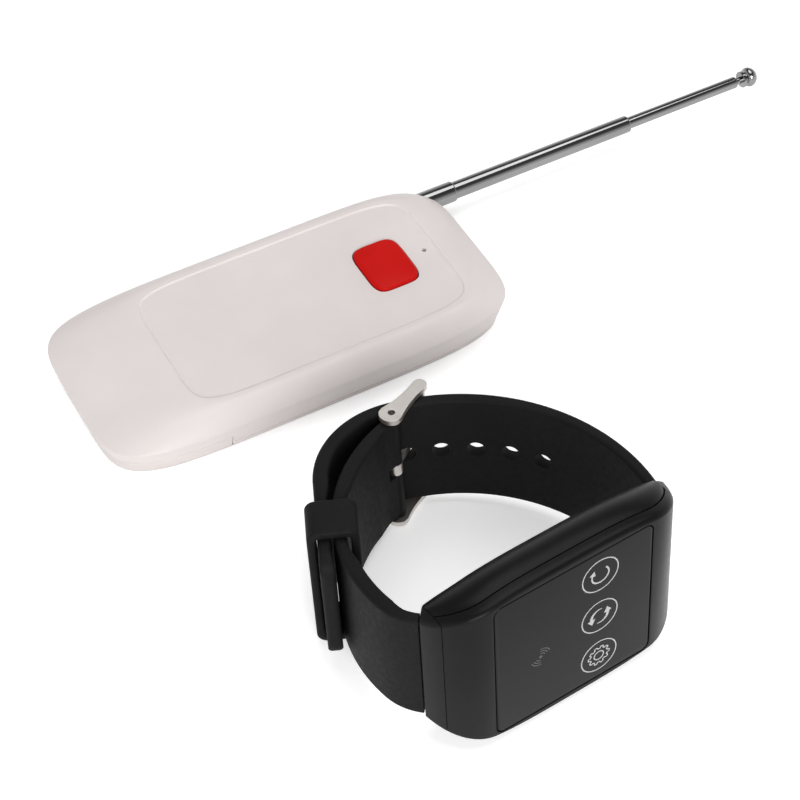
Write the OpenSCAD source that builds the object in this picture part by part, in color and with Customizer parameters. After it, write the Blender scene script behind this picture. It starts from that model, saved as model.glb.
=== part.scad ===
// Caregiver pager: a hand transmitter with one call button and a telescopic
// antenna, and the wrist receiver that it calls, standing on its edge beside it.
// +X runs along the transmitter towards the antenna, +Z is up out of the button.
// The origin is the middle of the transmitter's underside.

/* [Transmitter housing] */
// Length of the housing
body_l = 100; // [90:1:130]
// Width of the housing at the crease
body_w = 48.4; // [46:0.2:60]
// Height of the housing, floor to the rim of the panel
body_h = 11.4; // [11.2:0.1:16]
// Height of the crease where side wall meets shoulder
crease_z = 7.5; // [6.5:0.1:8]
// How far the side wall leans in at the floor
foot_inset = 2.0; // [1.6:0.1:3]
// Roundness of the plan outline, 2 is an ellipse
plan_power = 5.4; // [4:0.1:8]
// Fullness of the shoulder, 1 is a flat chamfer and more rounds it over towards the rim
shoulder_power = 1.8; // [1.7:0.1:2.6]
// Wall thickness of the mouldings
wall = 1.4; // [1.1:0.1:1.6]
// Thickness of the rear plate
plate_t = 1.6; // [1.4:0.1:1.8]
// Length of the sunk top panel
panel_l = 68.2; // [60:0.2:70]
// Width of the sunk top panel
panel_w = 37; // [34:0.2:38]
// Distance of the panel's middle towards the antenna
panel_x = 5.9; // [4:0.1:7]
// Depth of the sunk top panel
panel_sink = 0.3; // [0.2:0.05:0.6]
// Width of the raised rim round the panel
panel_rim = 0.9; // [0.6:0.1:1.2]
// Roundness of the panel's corners
panel_power = 7.5; // [5:0.1:10]

/* [Call button] */
// Button length along X
button_l = 11.3; // [10:0.1:12]
// Button width along Y
button_w = 14.6; // [12:0.1:16]
// Button centre from the middle of the housing
button_x = 27; // [20:0.5:28]
// How far the button stands above the panel
button_proud = 1.0; // [0.8:0.1:1.6]
// Travel of the button
button_travel = 0.5; // [0.3:0.05:0.5]
// Gap round the button
button_gap = 0.2; // [0.15:0.05:0.3]
// Diameter of the status light pinhole
pinhole_d = 1.1; // [0.8:0.1:1.4]
// Pinhole centre from the middle of the housing
pinhole_x = 37; // [36:0.1:37.2]

/* [Battery bay] */
// Battery diameter
battery_d = 8; // [7.6:0.1:8.2]
// Battery length
battery_l = 28; // [26:0.1:28.2]
// Middle of the battery along X
battery_x = -34; // [-35:0.1:-33]
// Where the battery cover ends, along X
cover_x = -23; // [-24:0.1:-22.6]
// Height of the battery cover's side walls
cover_z = 4.4; // [4.2:0.1:4.8]
// Gap round the battery cover
cover_gap = 0.15; // [0.1:0.05:0.2]

/* [Antenna] */
// Outer diameter of the base tube
base_d = 5; // [4.8:0.1:5.2]
// Outer diameter of the middle tube
middle_d = 4.2; // [4:0.1:4.3]
// Outer diameter of the inner tube
inner_d = 2.9; // [2.7:0.1:3.1]
// Diameter of the solid rod
rod_d = 1.7; // [1.5:0.1:1.9]
// Wall of the tubes
tube_wall = 0.25; // [0.2:0.01:0.28]
// Length of the base tube
tube_l = 52; // [50:0.5:53]
// Length of the middle tube
middle_l = 55.7; // [54:0.1:57]
// Length of the inner tube
inner_l = 57.3; // [54:0.1:60]
// Mouth of the base tube, along X
base_mouth_x = 55; // [54.5:0.5:57]
// Middle tube drawn out of the base tube
middle_out = 48.7; // [44:0.1:50]
// Inner tube drawn out of the middle tube
inner_out = 31.6; // [27:0.1:34]
// Neck of the rod that shows at rest
rod_out = 1.6; // [1:0.1:3]
// Diameter of the end knob
knob_d = 4.9; // [4.4:0.1:5.2]
// Length of the end knob
knob_l = 4.4; // [4:0.1:5]
// Antenna axis from the middle of the housing, along Y
antenna_y = 18.2; // [17.8:0.1:18.4]
// Antenna axis above the underside
antenna_z = 6; // [5.8:0.1:6.2]
// Running gap between one tube and the next
slide_gap = 0.05; // [0.03:0.01:0.06]

/* [Wrist receiver] */
// Cover glass along the strap
glass_l = 37; // [34:0.5:38]
// Cover glass across the strap
glass_w = 37; // [34:0.5:37.4]
// Case across the strap
case_w = 41; // [40.6:0.1:44]
// Case thickness in the middle
case_t = 11; // [10.6:0.1:13]
// Case length from strap seam to strap seam
case_l = 58.4; // [58:0.1:59]
// Depth of the front bezel moulding
bezel_t = 3; // [2.8:0.1:3.2]
// Seam between bezel and end link, from the middle
link_y = 27; // [26.9:0.05:27.2]
// How far the front falls back towards the strap
front_fall = 13; // [11:0.5:14]

/* [Strap] */
// Strap width
strap_w = 28; // [26:0.5:29]
// Strap thickness
strap_t = 2.6; // [2.2:0.1:2.8]
// Outer radius of the holed strap's long bend
long_bend_r = 43; // [42.5:0.1:43.5]
// Straight tail past the bend
tail_l = 22.5; // [20:0.5:24]
// Outer radius of the buckle strap's long bend
short_bend_r = 36; // [34:0.5:40]
// Gap between the tail and the buckle strap under it
strap_clear = 0.4; // [0.3:0.1:0.8]
// Outer radius of the buckle strap's bend at the case
heel_bend_r = 13; // [12.5:0.1:13.5]
// Strap hole diameter
hole_d = 3.9; // [3.6:0.1:4.2]
// Angle from one strap hole to the next
hole_pitch = 10.2; // [9:0.1:11]
// Thickness of the buckle's side plates
buckle_plate_t = 1.2; // [1:0.1:1.4]
// Gap between the buckle's plates and the strap
buckle_gap = 0.45; // [0.3:0.05:0.6]
// Width of the keeper band along the strap
keeper_l = 9; // [8:0.5:10]
// Thickness of the keeper band
keeper_t = 1.8; // [1.5:0.1:2]
// Gap between the keeper and the straps
keeper_gap = 0.25; // [0.2:0.05:0.4]
// Travel of the keeper each way along the strap
keeper_play = 2; // [1:0.5:2.5]

/* [Stance] */
// Receiver's glass centre along X
wrist_x = 7.3; // [0:0.1:20]
// Receiver's glass centre along Y
wrist_y = -111.3; // [-130:0.1:-110]
// Turn of the receiver about the vertical
wrist_yaw = -85; // [-95:1:-75]

/* [Hidden] */
$fn = 64;
shell_white = [0.87, 0.85, 0.84];
board_green = [0.1, 0.35, 0.2];
steel = [0.75, 0.75, 0.76];
black = [0.12, 0.12, 0.12];
rubber = [0.14, 0.14, 0.14];

// Housing outline
ring_points = 72;
rim_half_l = panel_l / 2 + panel_rim;
rim_half_w = panel_w / 2 + panel_rim;
panel_z = body_h - panel_sink;
ceiling_z = panel_z - wall;
seat_inset = foot_inset * 0.65;
shoulder_steps = 8;

// Board and switch
board_t = 1.2;
board_z = 5.4;
board_x0 = -14.5;
board_x1 = 40.6;
board_half_w = 13.5;
switch_l = 6;
switch_h = 2.6;
plunger_d = 3.3;
plunger_h = button_travel + 0.6;
plunger_z = board_z + switch_h - 0.5;
cap_wall = 1.2;
flange_w = 1;
flange_t = 0.9;
flange_z = ceiling_z - 0.15 - flange_t;
button_top = panel_z + button_proud;

// Fasteners
screw_d = 1.9;
screw_hole = 2.0;
screw_head_d = 3.6;
screw_head_t = 1.1;
boss_d = 5;
boss_z = plate_t + 1.4;
boss_at = [[-18.5, 16], [-18.5, -16], [43.5, 9], [43.5, -9]];
post_at = [[-11, 10], [-11, -10], [38, -10]];
support_at = [14, 36];
board_screw_l = 4.4;
case_screw_l = 5.5;
cap_size = [2, 1.2, 0.9];
cap_at = [[3, 6], [6, 6], [19, -4], [19, -7], [33, 5], [33, 8], [-8, 3], [-8, -3]];

// Battery bay
cover_floor = 1.2;
battery_z = cover_floor + 0.15 + battery_d / 2;
bay_half = battery_l / 2 + 2;
contact_t = 0.4;
contact_plate_l = 7;
contact_plate_h = 6.2;
contact_plate_z = 2.2;
nub_l = 0.4;
battery_y1 = bay_half - contact_t - nub_l;
battery_y0 = battery_y1 - battery_l;
rib_t = 1.2;
hook_y = bay_half + rib_t + 0.4;
hook_t = 0.8;
tab_y = 19.8;
tab_w = 2;
tab_t = 0.6;

// Antenna stations along X
base_x0 = base_mouth_x - tube_l;
middle_x1 = base_mouth_x + middle_out;
inner_x1 = middle_x1 + inner_out;
collar_l = 3;
lip_l = 1;

// Wrist receiver
case_end = case_l / 2;
flat_half = glass_l / 2;
plan_a = case_end * 1.0955;
fit_gap = 0.1;
cavity_half_l = glass_l / 2 - 1.4;
cavity_half_w = glass_w / 2 - 1.6;
glass_t = 1.2;
display_t = 1.4;
watch_board_t = 1;
cell_t = 3.6;
cell_l = 22;
cell_w = 25;
cell_y = 4;
motor_d = 8;
motor_t = 2.8;
motor_at = [-11.5, 6];
back_t = 1.3;
board_back = glass_t + display_t + watch_board_t;
back_boss_d = 4;
back_screw_d = 1.5;
back_screw_l = 3;
back_head_d = 2.8;
back_head_t = 0.6;
contact_d = 2;
pin_x = -8.6;
pin_y = case_end - 4.6;
pin_d = 1.4;
pin_half = 11;
peg_at = [-9.4, 12.4];
peg_d = 1.6;
peg_l = 2.2;
seam_gap = 0.4;
knuckle_r = 1.35;
tongue_half = 9.8;

// Angle of a direction, from 0 to 360
function angle_of(v) = (atan2(v.y, v.x) + 360) % 360;

// Strap bends, each given by the centre of its arc in the receiver's own plane. The buckle strap's
// long bend passes through its tip under the holed strap and touches the bend at its heel
long_c = [-19.5, case_end - 0.9 - sqrt(long_bend_r * long_bend_r - 81)];
long_start = 78.2;
long_end = 165;
heel_end = 316;
heel_start = [-9.37, 0.14 - case_end];
heel_c = heel_start - heel_bend_r * [cos(heel_end), sin(heel_end)];
tip_drop = 1.2;
tip_angle = 165.4;
strap_tip = long_c + (long_bend_r - strap_t - tip_drop) * [cos(tip_angle), sin(tip_angle)];
tip_to_heel = heel_c - strap_tip;
tip_along = (pow(short_bend_r, 2) - pow(short_bend_r - heel_bend_r, 2) + pow(norm(tip_to_heel), 2))
    / (2 * norm(tip_to_heel));
tip_across = sqrt(pow(short_bend_r, 2) - pow(tip_along, 2));
short_c = strap_tip
    + (tip_along * tip_to_heel + tip_across * [-tip_to_heel.y, tip_to_heel.x]) / norm(tip_to_heel);
short_end = angle_of(strap_tip - short_c);
heel_angle = angle_of(heel_c - short_c);

// The tail bend is as large as lays the straight tail on the buckle strap
keeper_angle = 241;
keeper_dir = [cos(keeper_angle), sin(keeper_angle)];
tail_end = keeper_angle;
tail_face = short_bend_r + strap_clear + strap_t;
tail_turn = cos(tail_end - long_end);
tail_bend_r = ((short_c - long_c) * keeper_dir + tail_face - long_bend_r * tail_turn) / (1 - tail_turn);
tail_c = long_c + (long_bend_r - tail_bend_r) * [cos(long_end), sin(long_end)];
tail_start = tail_c + tail_bend_r * keeper_dir;
long_joint = long_c + (long_bend_r - strap_t / 2) * [cos(long_start + 2), sin(long_start + 2)];
heel_joint = heel_c + (heel_bend_r - strap_t / 2) * [cos(heel_end - 8), sin(heel_end - 8)];
step_in = 0.03;

// Buckle: the tongue leaves its pin, passes a hole in the middle of the holed strap and lies on the bar
buckle_pin_at = short_c + (short_bend_r - strap_t / 2) * [cos(short_end), sin(short_end)];
bar_r = 1.1;
bar_angle = 154.5;
bar_at = long_c + (long_bend_r + bar_r + 0.3) * [cos(bar_angle), sin(bar_angle)];
buckle_d = bar_at - buckle_pin_at;
pin_end_r = 2.6;
bar_end_r = 1.6;
buckle_waist = 2.4;
pin_sink = 0.3;
tongue_t = 0.2 * hole_d;
tongue_w = 0.4 * hole_d;
tongue_barrel_r = 1.5;
tongue_barrel_l = 2.9;
tongue_slot = 3.2;
tongue_angle = angle_of(buckle_d) + asin((bar_r + tongue_t / 2 + 0.08) / norm(buckle_d));
swing_mid = 0.6;
tongue_dir = [cos(tongue_angle + swing_mid), sin(tongue_angle + swing_mid)];
pin_from_c = buckle_pin_at - long_c;
tongue_run = sqrt(pow(pin_from_c * tongue_dir, 2) - pow(norm(pin_from_c), 2)
    + pow(long_bend_r - strap_t / 2, 2)) - pin_from_c * tongue_dir;
used_hole = angle_of(pin_from_c + tongue_run * tongue_dir);
hole_count = 8;
first_hole = used_hole - 4 * hole_pitch;

// Keeper round the tail and the buckle strap, with room for the bend it slides on
strap_face = sqrt(pow(short_bend_r - strap_t, 2) - pow(keeper_l / 2 + keeper_play, 2));
keeper_at = short_c + (tail_face + strap_face) / 2 * keeper_dir;
keeper_depth = tail_face - strap_face + 2 * keeper_gap;

// Lean of the receiver, so that the case's belly and the buckle both meet the floor
belly_depth = 6;
buckle_half = strap_w / 2 + buckle_gap + buckle_plate_t;
buckle_reach = bar_end_r - bar_at.x;
lean = atan((case_w / 2 - buckle_half) / (buckle_reach - belly_depth));
wrist_z = belly_depth * sin(lean) + case_w / 2 * cos(lean) + 0.05;

// A superellipse of half length a and half width b, as a ring of points at height z
function oval(a, b, power, x, z) = [for (i = [0:ring_points - 1])
    let (t = 360 * (i + 0.5) / ring_points, c = cos(t), s = sin(t))
    [x + a * sign(c) * pow(abs(c), 2 / power), b * sign(s) * pow(abs(s), 2 / power), z]];

// A closed solid through rings of equal point count. Flat ends are one face each;
// ruled ends are strips that join each point to the one across the ring
module skin(rings, ruled = false) {
    n = len(rings[0]);
    m = len(rings);
    last = (m - 1) * n;
    polyhedron(
        points = [for (r = rings) for (p = r) p],
        faces = concat(
            ruled ? [for (i = [0:n / 2 - 2]) [i, i + 1, n - 2 - i, n - 1 - i]] : [[for (i = [0:n - 1]) i]],
            [for (k = [0:m - 2]) for (i = [0:n - 1]) let (j = (i + 1) % n)
                each [[k * n + j, k * n + i, (k + 1) * n + i], [k * n + j, (k + 1) * n + i, (k + 1) * n + j]]],
            ruled ? [for (i = [0:n / 2 - 2]) [last + n - 1 - i, last + n - 2 - i, last + i + 1, last + i]]
                : [[for (i = [n - 1:-1:0]) last + i]]));
}

// Ring of the housing's lower wall, drawn in by inset
function wall_ring(inset, z) = oval(body_l / 2 - inset, body_w / 2 - inset, plan_power, 0, z);

// Ring of the shoulder: k runs from 0 at the crease, which stays an edge, to 1 at the rim, where
// the shoulder levels out; depth is measured inwards
function shoulder_ring(k, depth) =
    let (lift = 1 - pow(1 - k, shoulder_power))
    oval(body_l / 2 + (rim_half_l - body_l / 2) * k - depth,
        body_w / 2 + (rim_half_w - body_w / 2) * k - depth,
        plan_power + (panel_power - plan_power) * k, panel_x * k,
        crease_z - depth + (body_h - crease_z) * lift);

// Inset of the leaning side wall at height z below the crease
function lean_in(z) = seat_inset * (crease_z - z) / (crease_z - plate_t);

module tube_along_x(d, x0, x1) {
    translate([x0, antenna_y, antenna_z]) rotate([0, 90, 0]) cylinder(d = d, h = x1 - x0);
}

// A telescopic tube: plain bore, lip rolled in at the mouth, guide collar at the inner end
module telescope_tube(d, x0, x1, next_d, collar_d) {
    bore = d - 2 * tube_wall;
    difference() {
        union() {
            tube_along_x(d, x0, x1);
            if (collar_d > d) tube_along_x(collar_d, x0, x0 + collar_l);
        }
        tube_along_x(bore, x0 - 1, x1 - lip_l);
        tube_along_x(next_d + 2 * slide_gap, x1 - lip_l - 0.1, x1 + 1);
    }
}

module front_shell() {
    steps = [for (i = [1:shoulder_steps]) i / shoulder_steps];
    color(shell_white) difference() {
        union() {
            difference() {
                skin(concat(
                    [for (i = [shoulder_steps:-1:1]) shoulder_ring(steps[i - 1], wall)],
                    [wall_ring(wall, crease_z - wall), wall_ring(lean_in(plate_t) + wall, plate_t),
                        wall_ring(lean_in(plate_t), plate_t), wall_ring(0, crease_z)],
                    [for (k = steps) shoulder_ring(k, 0)],
                    [oval(panel_l / 2, panel_w / 2, panel_power, panel_x, body_h),
                        oval(panel_l / 2 - panel_sink, panel_w / 2 - panel_sink, panel_power, panel_x, panel_z)]));
                translate([-body_l, -body_w, 0]) cube([body_l + cover_x, 2 * body_w, cover_z]);
            }
            for (p = boss_at) translate([p.x, p.y, boss_z]) cylinder(d = boss_d, h = ceiling_z - boss_z + 0.1);
            for (p = post_at) translate([p.x, p.y, board_z]) cylinder(d = boss_d, h = ceiling_z - board_z + 0.5);
            battery_ribs();
            for (x = support_at) translate([x, antenna_y - 4.2, antenna_z - 1])
                cube([1.5, 7.2, ceiling_z - antenna_z + 1]);
        }
        translate([button_x, 0, ceiling_z - 1]) button_outline(button_gap, 4);
        translate([pinhole_x, 0, ceiling_z - 1]) cylinder(d = pinhole_d, h = 4, $fn = 24);
        tube_along_x(base_d + 2 * fit_gap, base_x0, body_l);
        translate([13, antenna_y - base_d / 2 - fit_gap, 0]) cube([29, base_d + 2 * fit_gap, antenna_z]);
        for (p = boss_at) translate([p.x, p.y, 0]) cylinder(d = screw_hole, h = ceiling_z - 0.6);
        for (p = post_at) translate([p.x, p.y, 0]) cylinder(d = screw_hole, h = ceiling_z - 0.6);
    }
}

// Ribs that hold the battery contacts, and the rails that the cover's hooks run on
module battery_ribs() {
    for (side = [-1, 1]) {
        translate([battery_x - 4.5, side * (bay_half + rib_t / 2) - rib_t / 2, 2])
            cube([9, rib_t, ceiling_z - 1.9]);
        translate([battery_x - 2, side * (hook_y + 2.65) - 0.35, 2.4]) cube([10, 0.7, 4.4]);
        translate([battery_x - 2, side * (hook_y + 1.75) - 0.65, 2.4]) cube([10, 1.3, 0.8]);
        translate([battery_x - 2, side * (hook_y + 3.6) - 1, crease_z - wall - 1.2]) cube([10, 2, 1]);
    }
}

// Rounded outline of the call button, widened by grow, as a prism of height h
module button_outline(grow, h) {
    r = 3.2;
    l = button_l + 2 * grow;
    w = button_w + 2 * grow;
    linear_extrude(h) union() {
        square([l - 2 * r, w], center = true);
        square([l, w - 2 * r], center = true);
        for (sx = [-1, 1], sy = [-1, 1]) translate([sx * (l / 2 - r), sy * (w / 2 - r)]) circle(r);
    }
}

module rear_plate() {
    color(shell_white) difference() {
        union() {
            intersection() {
                skin([wall_ring(foot_inset, 0), wall_ring(foot_inset * 0.75, 0.4),
                    wall_ring(seat_inset, plate_t)]);
                translate([cover_x + cover_gap, -body_w, -1]) cube([body_l, 2 * body_w, body_h]);
            }
            for (p = boss_at) translate([p.x, p.y, 1]) cylinder(d = boss_d + 1.4, h = boss_z - 1);
            for (x = support_at) translate([x, antenna_y - 3, 1])
                cube([1.5, 4.5, antenna_z - base_d / 2 - fit_gap - 1]);
        }
        for (p = boss_at) {
            translate([p.x, p.y, -1]) cylinder(d = screw_head_d + 0.4, h = 1 + screw_head_t + 0.3);
            translate([p.x, p.y, -1]) cylinder(d = screw_d + 0.3, h = 10);
        }
    }
}

module battery_cover() {
    top = cover_z - cover_gap;
    color(shell_white) difference() {
        union() {
            intersection() {
                skin([wall_ring(foot_inset, 0), wall_ring(foot_inset * 0.75, 0.4), wall_ring(seat_inset, plate_t),
                    wall_ring(lean_in(top), top), wall_ring(lean_in(top) + wall, top),
                    wall_ring(lean_in(cover_floor) + wall, cover_floor)]);
                translate([-body_l, -body_w, -1]) cube([body_l + cover_x - cover_gap, 2 * body_w, body_h]);
            }
            for (side = [-1, 1]) {
                translate([battery_x - 2, side * (hook_y + hook_t / 2) - hook_t / 2, cover_floor - 0.3])
                    cube([8, hook_t, top - cover_floor]);
                translate([battery_x - 2, side * (hook_y + hook_t + 0.5) - 0.6, top - 0.95]) cube([8, 1.2, 0.65]);
                translate([cover_x - 5, side * tab_y - tab_w / 2, cover_floor - 0.2])
                    cube([4.5, tab_w, plate_t + 0.3 + tab_t - cover_floor]);
                translate([cover_x - 1.5, side * tab_y - tab_w / 2, plate_t + 0.1]) cube([3.3, tab_w, tab_t]);
            }
        }
        for (i = [0:4]) translate([-body_l * 0.43 + 1.8 * i, -8, -0.6]) cube([0.9, 16, 1]);
    }
}

module call_button() {
    edge = [[0, button_top - 0.9], [0.12, button_top - 0.55], [0.45, button_top - 0.25],
        [1.1, button_top - 0.08], [2.4, button_top]];
    power = 5;
    color([0.76, 0.1, 0.08]) difference() {
        union() {
            translate([button_x, 0, flange_z]) button_outline(0, button_top - 0.9 - flange_z);
            translate([button_x, 0, 0]) skin([for (i = [0:len(edge) - 1])
                oval(button_l / 2 - edge[i][0], button_w / 2 - edge[i][0], power, 0, edge[i][1])]);
            translate([button_x, 0, flange_z]) button_outline(flange_w, flange_t);
        }
        translate([button_x, 0, flange_z - 1]) linear_extrude(button_top - 2.1 - flange_z + 1)
            difference() {
                square([button_l - 2 * cap_wall, button_w - 2 * cap_wall], center = true);
                circle(d = plunger_d + 1);
            }
        translate([button_x, 0, 0]) cylinder(d = plunger_d + 1.2, h = plunger_z + plunger_h);
    }
}

module switch_plunger() {
    color(black) translate([button_x, 0, plunger_z]) cylinder(d = plunger_d, h = plunger_h);
}

module tact_switch() {
    color(steel) difference() {
        union() {
            translate([button_x - switch_l / 2, -switch_l / 2, board_z]) cube([switch_l, switch_l, switch_h]);
            for (sx = [-1, 1], sy = [-1, 1])
                translate([button_x + sx * (switch_l / 2 + 0.4) - 0.5, sy * 2.25 - 0.35, board_z])
                    cube([1, 0.7, 0.5]);
        }
        translate([button_x, 0, plunger_z - 0.7]) cylinder(d = plunger_d + 0.2, h = switch_h);
    }
}

module circuit_board() {
    color(board_green) difference() {
        translate([board_x0, -board_half_w, board_z - board_t])
            cube([board_x1 - board_x0, 2 * board_half_w, board_t]);
        for (p = post_at) translate([p.x, p.y, 0]) cylinder(d = screw_d + 0.3, h = body_h);
        translate([base_x0 + 4.5, 11, 0]) cylinder(d = screw_d + 0.3, h = body_h);
    }
}

module encoder_chip() {
    color(black) translate([0, -5, board_z]) {
        translate([-5, -2, 0.15]) cube([10, 4, 1.5]);
        for (i = [0:8], side = [-1, 1]) translate([-4.6 + 1.1 * i, side * 2.4 - 0.5, 0]) cube([0.4, 1, 0.5]);
    }
}

module saw_resonator() {
    color(steel) translate([13, 5, board_z]) {
        cylinder(d = 9, h = 0.6);
        cylinder(d = 8, h = 2.4);
    }
}

module board_capacitors() {
    color([0.6, 0.5, 0.4]) for (p = cap_at)
        translate([p.x - cap_size.x / 2, p.y - cap_size.y / 2, board_z]) cube(cap_size);
}

module status_led() {
    led_r = 1.5;
    color([0.9, 0.9, 0.85]) translate([pinhole_x, 0, board_z]) {
        cylinder(r = led_r, h = ceiling_z - board_z - led_r - 0.15);
        translate([0, 0, ceiling_z - board_z - led_r - 0.15]) sphere(led_r);
    }
}

module screw_up(z, l) {
    translate([0, 0, z - screw_head_t]) difference() {
        cylinder(d = screw_head_d, h = screw_head_t);
        for (a = [0, 90]) rotate(a) translate([-1.1, -0.25, -0.1]) cube([2.2, 0.5, 0.6]);
    }
    translate([0, 0, z - 0.1]) cylinder(d = screw_d, h = l + 0.1);
}

module board_screws() {
    color(steel) for (p = post_at) translate([p.x, p.y, 0]) screw_up(board_z - board_t, board_screw_l);
}

module battery() {
    color([0.2, 0.2, 0.22]) translate([battery_x, battery_y0, battery_z]) rotate([-90, 0, 0]) {
        cylinder(d = battery_d, h = battery_l);
        cylinder(d = 3.4, h = battery_l + nub_l);
    }
}

module battery_plate() {
    color(steel) for (side = [-1, 1])
        translate([battery_x - contact_plate_l / 2,
            side * (bay_half - contact_t / 2) - contact_t / 2, contact_plate_z]) cube([contact_plate_l, contact_t, contact_plate_h]);
}

// Conical contact spring wound in one unbroken wire
module battery_spring() {
    turns = 3.5;
    sides = 6;
    wire_r = 0.3;
    y0 = -bay_half + contact_t + wire_r;
    y1 = battery_y0 - wire_r - 0.05;
    steps = 28;
    color(steel) skin([for (i = [0:steps]) let (t = i / steps, a = 360 * turns * t, r = 3 - 1.2 * t)
        [for (k = [0:sides - 1]) let (b = -360 * k / sides)
            [battery_x + (r + wire_r * cos(b)) * cos(a), y0 + (y1 - y0) * t + wire_r * sin(b),
                battery_z + (r + wire_r * cos(b)) * sin(a)]]]);
}

module antenna_base_tube() {
    color(steel) telescope_tube(base_d, base_x0, base_mouth_x, middle_d, 0);
}

module antenna_bracket() {
    x0 = base_x0 + 3;
    color(steel) difference() {
        union() {
            tube_along_x(base_d + 1.6, x0, x0 + 3);
            translate([x0 - 0.5, 8.6, board_z]) cube([4, antenna_y - base_d / 2 - 8.4, 0.8]);
        }
        tube_along_x(base_d + 0.02, x0 - 1, x0 + 4);
        translate([base_x0 + 4.5, 11, 0]) cylinder(d = screw_d + 0.3, h = body_h);
    }
}

module antenna_screw() {
    color(steel) translate([base_x0 + 4.5, 11, board_z + 0.8]) rotate([180, 0, 0]) screw_up(0, 2.4);
}

module antenna_middle_tube() {
    color(steel) telescope_tube(middle_d, middle_x1 - middle_l, middle_x1, inner_d,
        base_d - 2 * tube_wall - 2 * slide_gap);
}

module antenna_inner_tube() {
    color(steel) telescope_tube(inner_d, inner_x1 - inner_l, inner_x1, rod_d,
        middle_d - 2 * tube_wall - 2 * slide_gap);
}

module antenna_rod() {
    color(steel) {
        tube_along_x(rod_d, inner_x1 - inner_l + 2, inner_x1 + rod_out);
        tube_along_x(inner_d - 2 * tube_wall - 2 * slide_gap, inner_x1 - inner_l + 2,
            inner_x1 - inner_l + 2 + collar_l);
    }
}

// Turned end knob: a ring, a groove and a larger rounded head
module antenna_knob() {
    head_r = knob_d / 2;
    ring_r = head_r * 0.84;
    groove_r = head_r * 0.62;
    color(steel) translate([inner_x1 + rod_out, antenna_y, antenna_z]) rotate([0, 90, 0]) rotate_extrude()
        polygon(concat([[0, 0], [ring_r, 0], [ring_r, 0.8], [groove_r, 1], [groove_r, 1.3], [head_r * 0.94, 1.6]],
            [for (a = [0:15:90]) [head_r * cos(a * 0.98), 2.1 + (knob_l - 2.1) * sin(a)]],
            [[0, knob_l]]));
}

module case_screws() {
    color(steel) for (p = boss_at) translate([p.x, p.y, 0]) screw_up(screw_head_t + 0.3, case_screw_l);
}

// Everything below is drawn in the receiver's own frame: x out of the glass, y along
// the strap, z across it; the case and the buckle both touch the floor
module on_wrist() {
    translate([wrist_x, wrist_y, wrist_z]) rotate([0, 0, wrist_yaw]) rotate([0, -lean, 0]) children();
}

// Where the front and the back of the case lie at a distance y along the strap
function front_x(y) = let (t = min(1, max(0, (abs(y) - flat_half) / (case_end - flat_half + 0.4))))
    -front_fall * (1 - sqrt(1 - t * t));
function back_x(y) = let (t = max(0, (abs(y) - 18) / 11)) -case_t - 1.6 * t * t;
function half_z(y, inset) = (case_w / 2 - inset) * pow(1 - pow(abs(y) / plan_a, 3.4), 1 / 3.4);

// Ring of the case between -end and end, u from 0 at the front to 1 at the back, d extra depth
function case_ring(y0, y1, inset, depth, u) = let (n = max(3, round((y1 - y0) / 2.4)))
    concat([for (i = [0:n]) let (y = y0 + (y1 - y0) * i / n) case_point(y, half_z(y, inset), depth, u)],
        [for (i = [n:-1:0]) let (y = y0 + (y1 - y0) * i / n) case_point(y, -half_z(y, inset), depth, u)]);
function case_point(y, z, depth, u) = [(front_x(y) - depth) * (1 - u) + back_x(y) * u, y, z];

module rounded_slab(l, w, r, x0, x1) {
    translate([x0, 0, 0]) rotate([90, 0, 90]) linear_extrude(x1 - x0) union() {
        square([l - 2 * r, w], center = true);
        square([l, w - 2 * r], center = true);
        for (sx = [-1, 1], sy = [-1, 1]) translate([sx * (l / 2 - r), sy * (w / 2 - r)]) circle(r);
    }
}

module watch_bezel() {
    e = link_y - fit_gap;
    color(black) on_wrist() difference() {
        skin([case_ring(-e, e, 0.7, 0, 0), case_ring(-e, e, 0.25, 0.5, 0), case_ring(-e, e, 0.06, 1.4, 0),
            case_ring(-e, e, 0.06, bezel_t, 0)], ruled = true);
        rounded_slab(glass_l + 2 * fit_gap, glass_w + 2 * fit_gap, 2, -glass_t, 1);
        rounded_slab(2 * cavity_half_l, 2 * cavity_half_w, 2, -20, 1);
    }
}

module watch_case() {
    e = link_y - fit_gap;
    color(black) on_wrist() difference() {
        union() {
            difference() {
                skin([case_ring(-e, e, 0.06, bezel_t, 0), case_ring(-e, e, 0, bezel_t, 0.2),
                    case_ring(-e, e, 0.3, bezel_t, 0.5), case_ring(-e, e, 0.9, bezel_t, 0.75),
                    case_ring(-e, e, 1.7, bezel_t, 0.92), case_ring(-e, e, 2.7, bezel_t, 1)], ruled = true);
                rounded_slab(2 * cavity_half_l, 2 * cavity_half_w, 2, -case_t - 3, 1);
                rounded_slab(2 * cavity_half_l + 3, 2 * cavity_half_w - 1, 3, -case_t - 3, -case_t + back_t);
            }
            at_back_screws() cylinder(d = back_boss_d, h = case_t - back_t - board_back, $fn = 32);
        }
        at_back_screws() cylinder(d = back_screw_d + 0.1, h = back_screw_l, $fn = 32);
        lug_slots();
        pin_bores(pin_d + 0.1);
        at_pegs() translate([0, 0, -0.1]) cylinder(d = peg_d + 0.1, h = peg_l + 0.3, $fn = 32);
    }
}

// Room for the strap ends: slots for their barrels, and the slanted seams they start at
module lug_slots() {
    strap_barrel(1, long_joint, 0.3);
    strap_barrel(-1, heel_joint, 0.3);
    translate([long_c.x, long_c.y, -case_w]) rotate([0, 0, long_start - seam_gap / long_bend_r * 180 / PI])
        cube([2 * case_w, 2 * case_w, 2 * case_w]);
    translate([heel_c.x, heel_c.y, -case_w]) rotate([0, 0, heel_end + seam_gap / heel_bend_r * 180 / PI])
        translate([0, -2 * case_w, 0]) cube([2 * case_w, 2 * case_w, 2 * case_w]);
}

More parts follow.
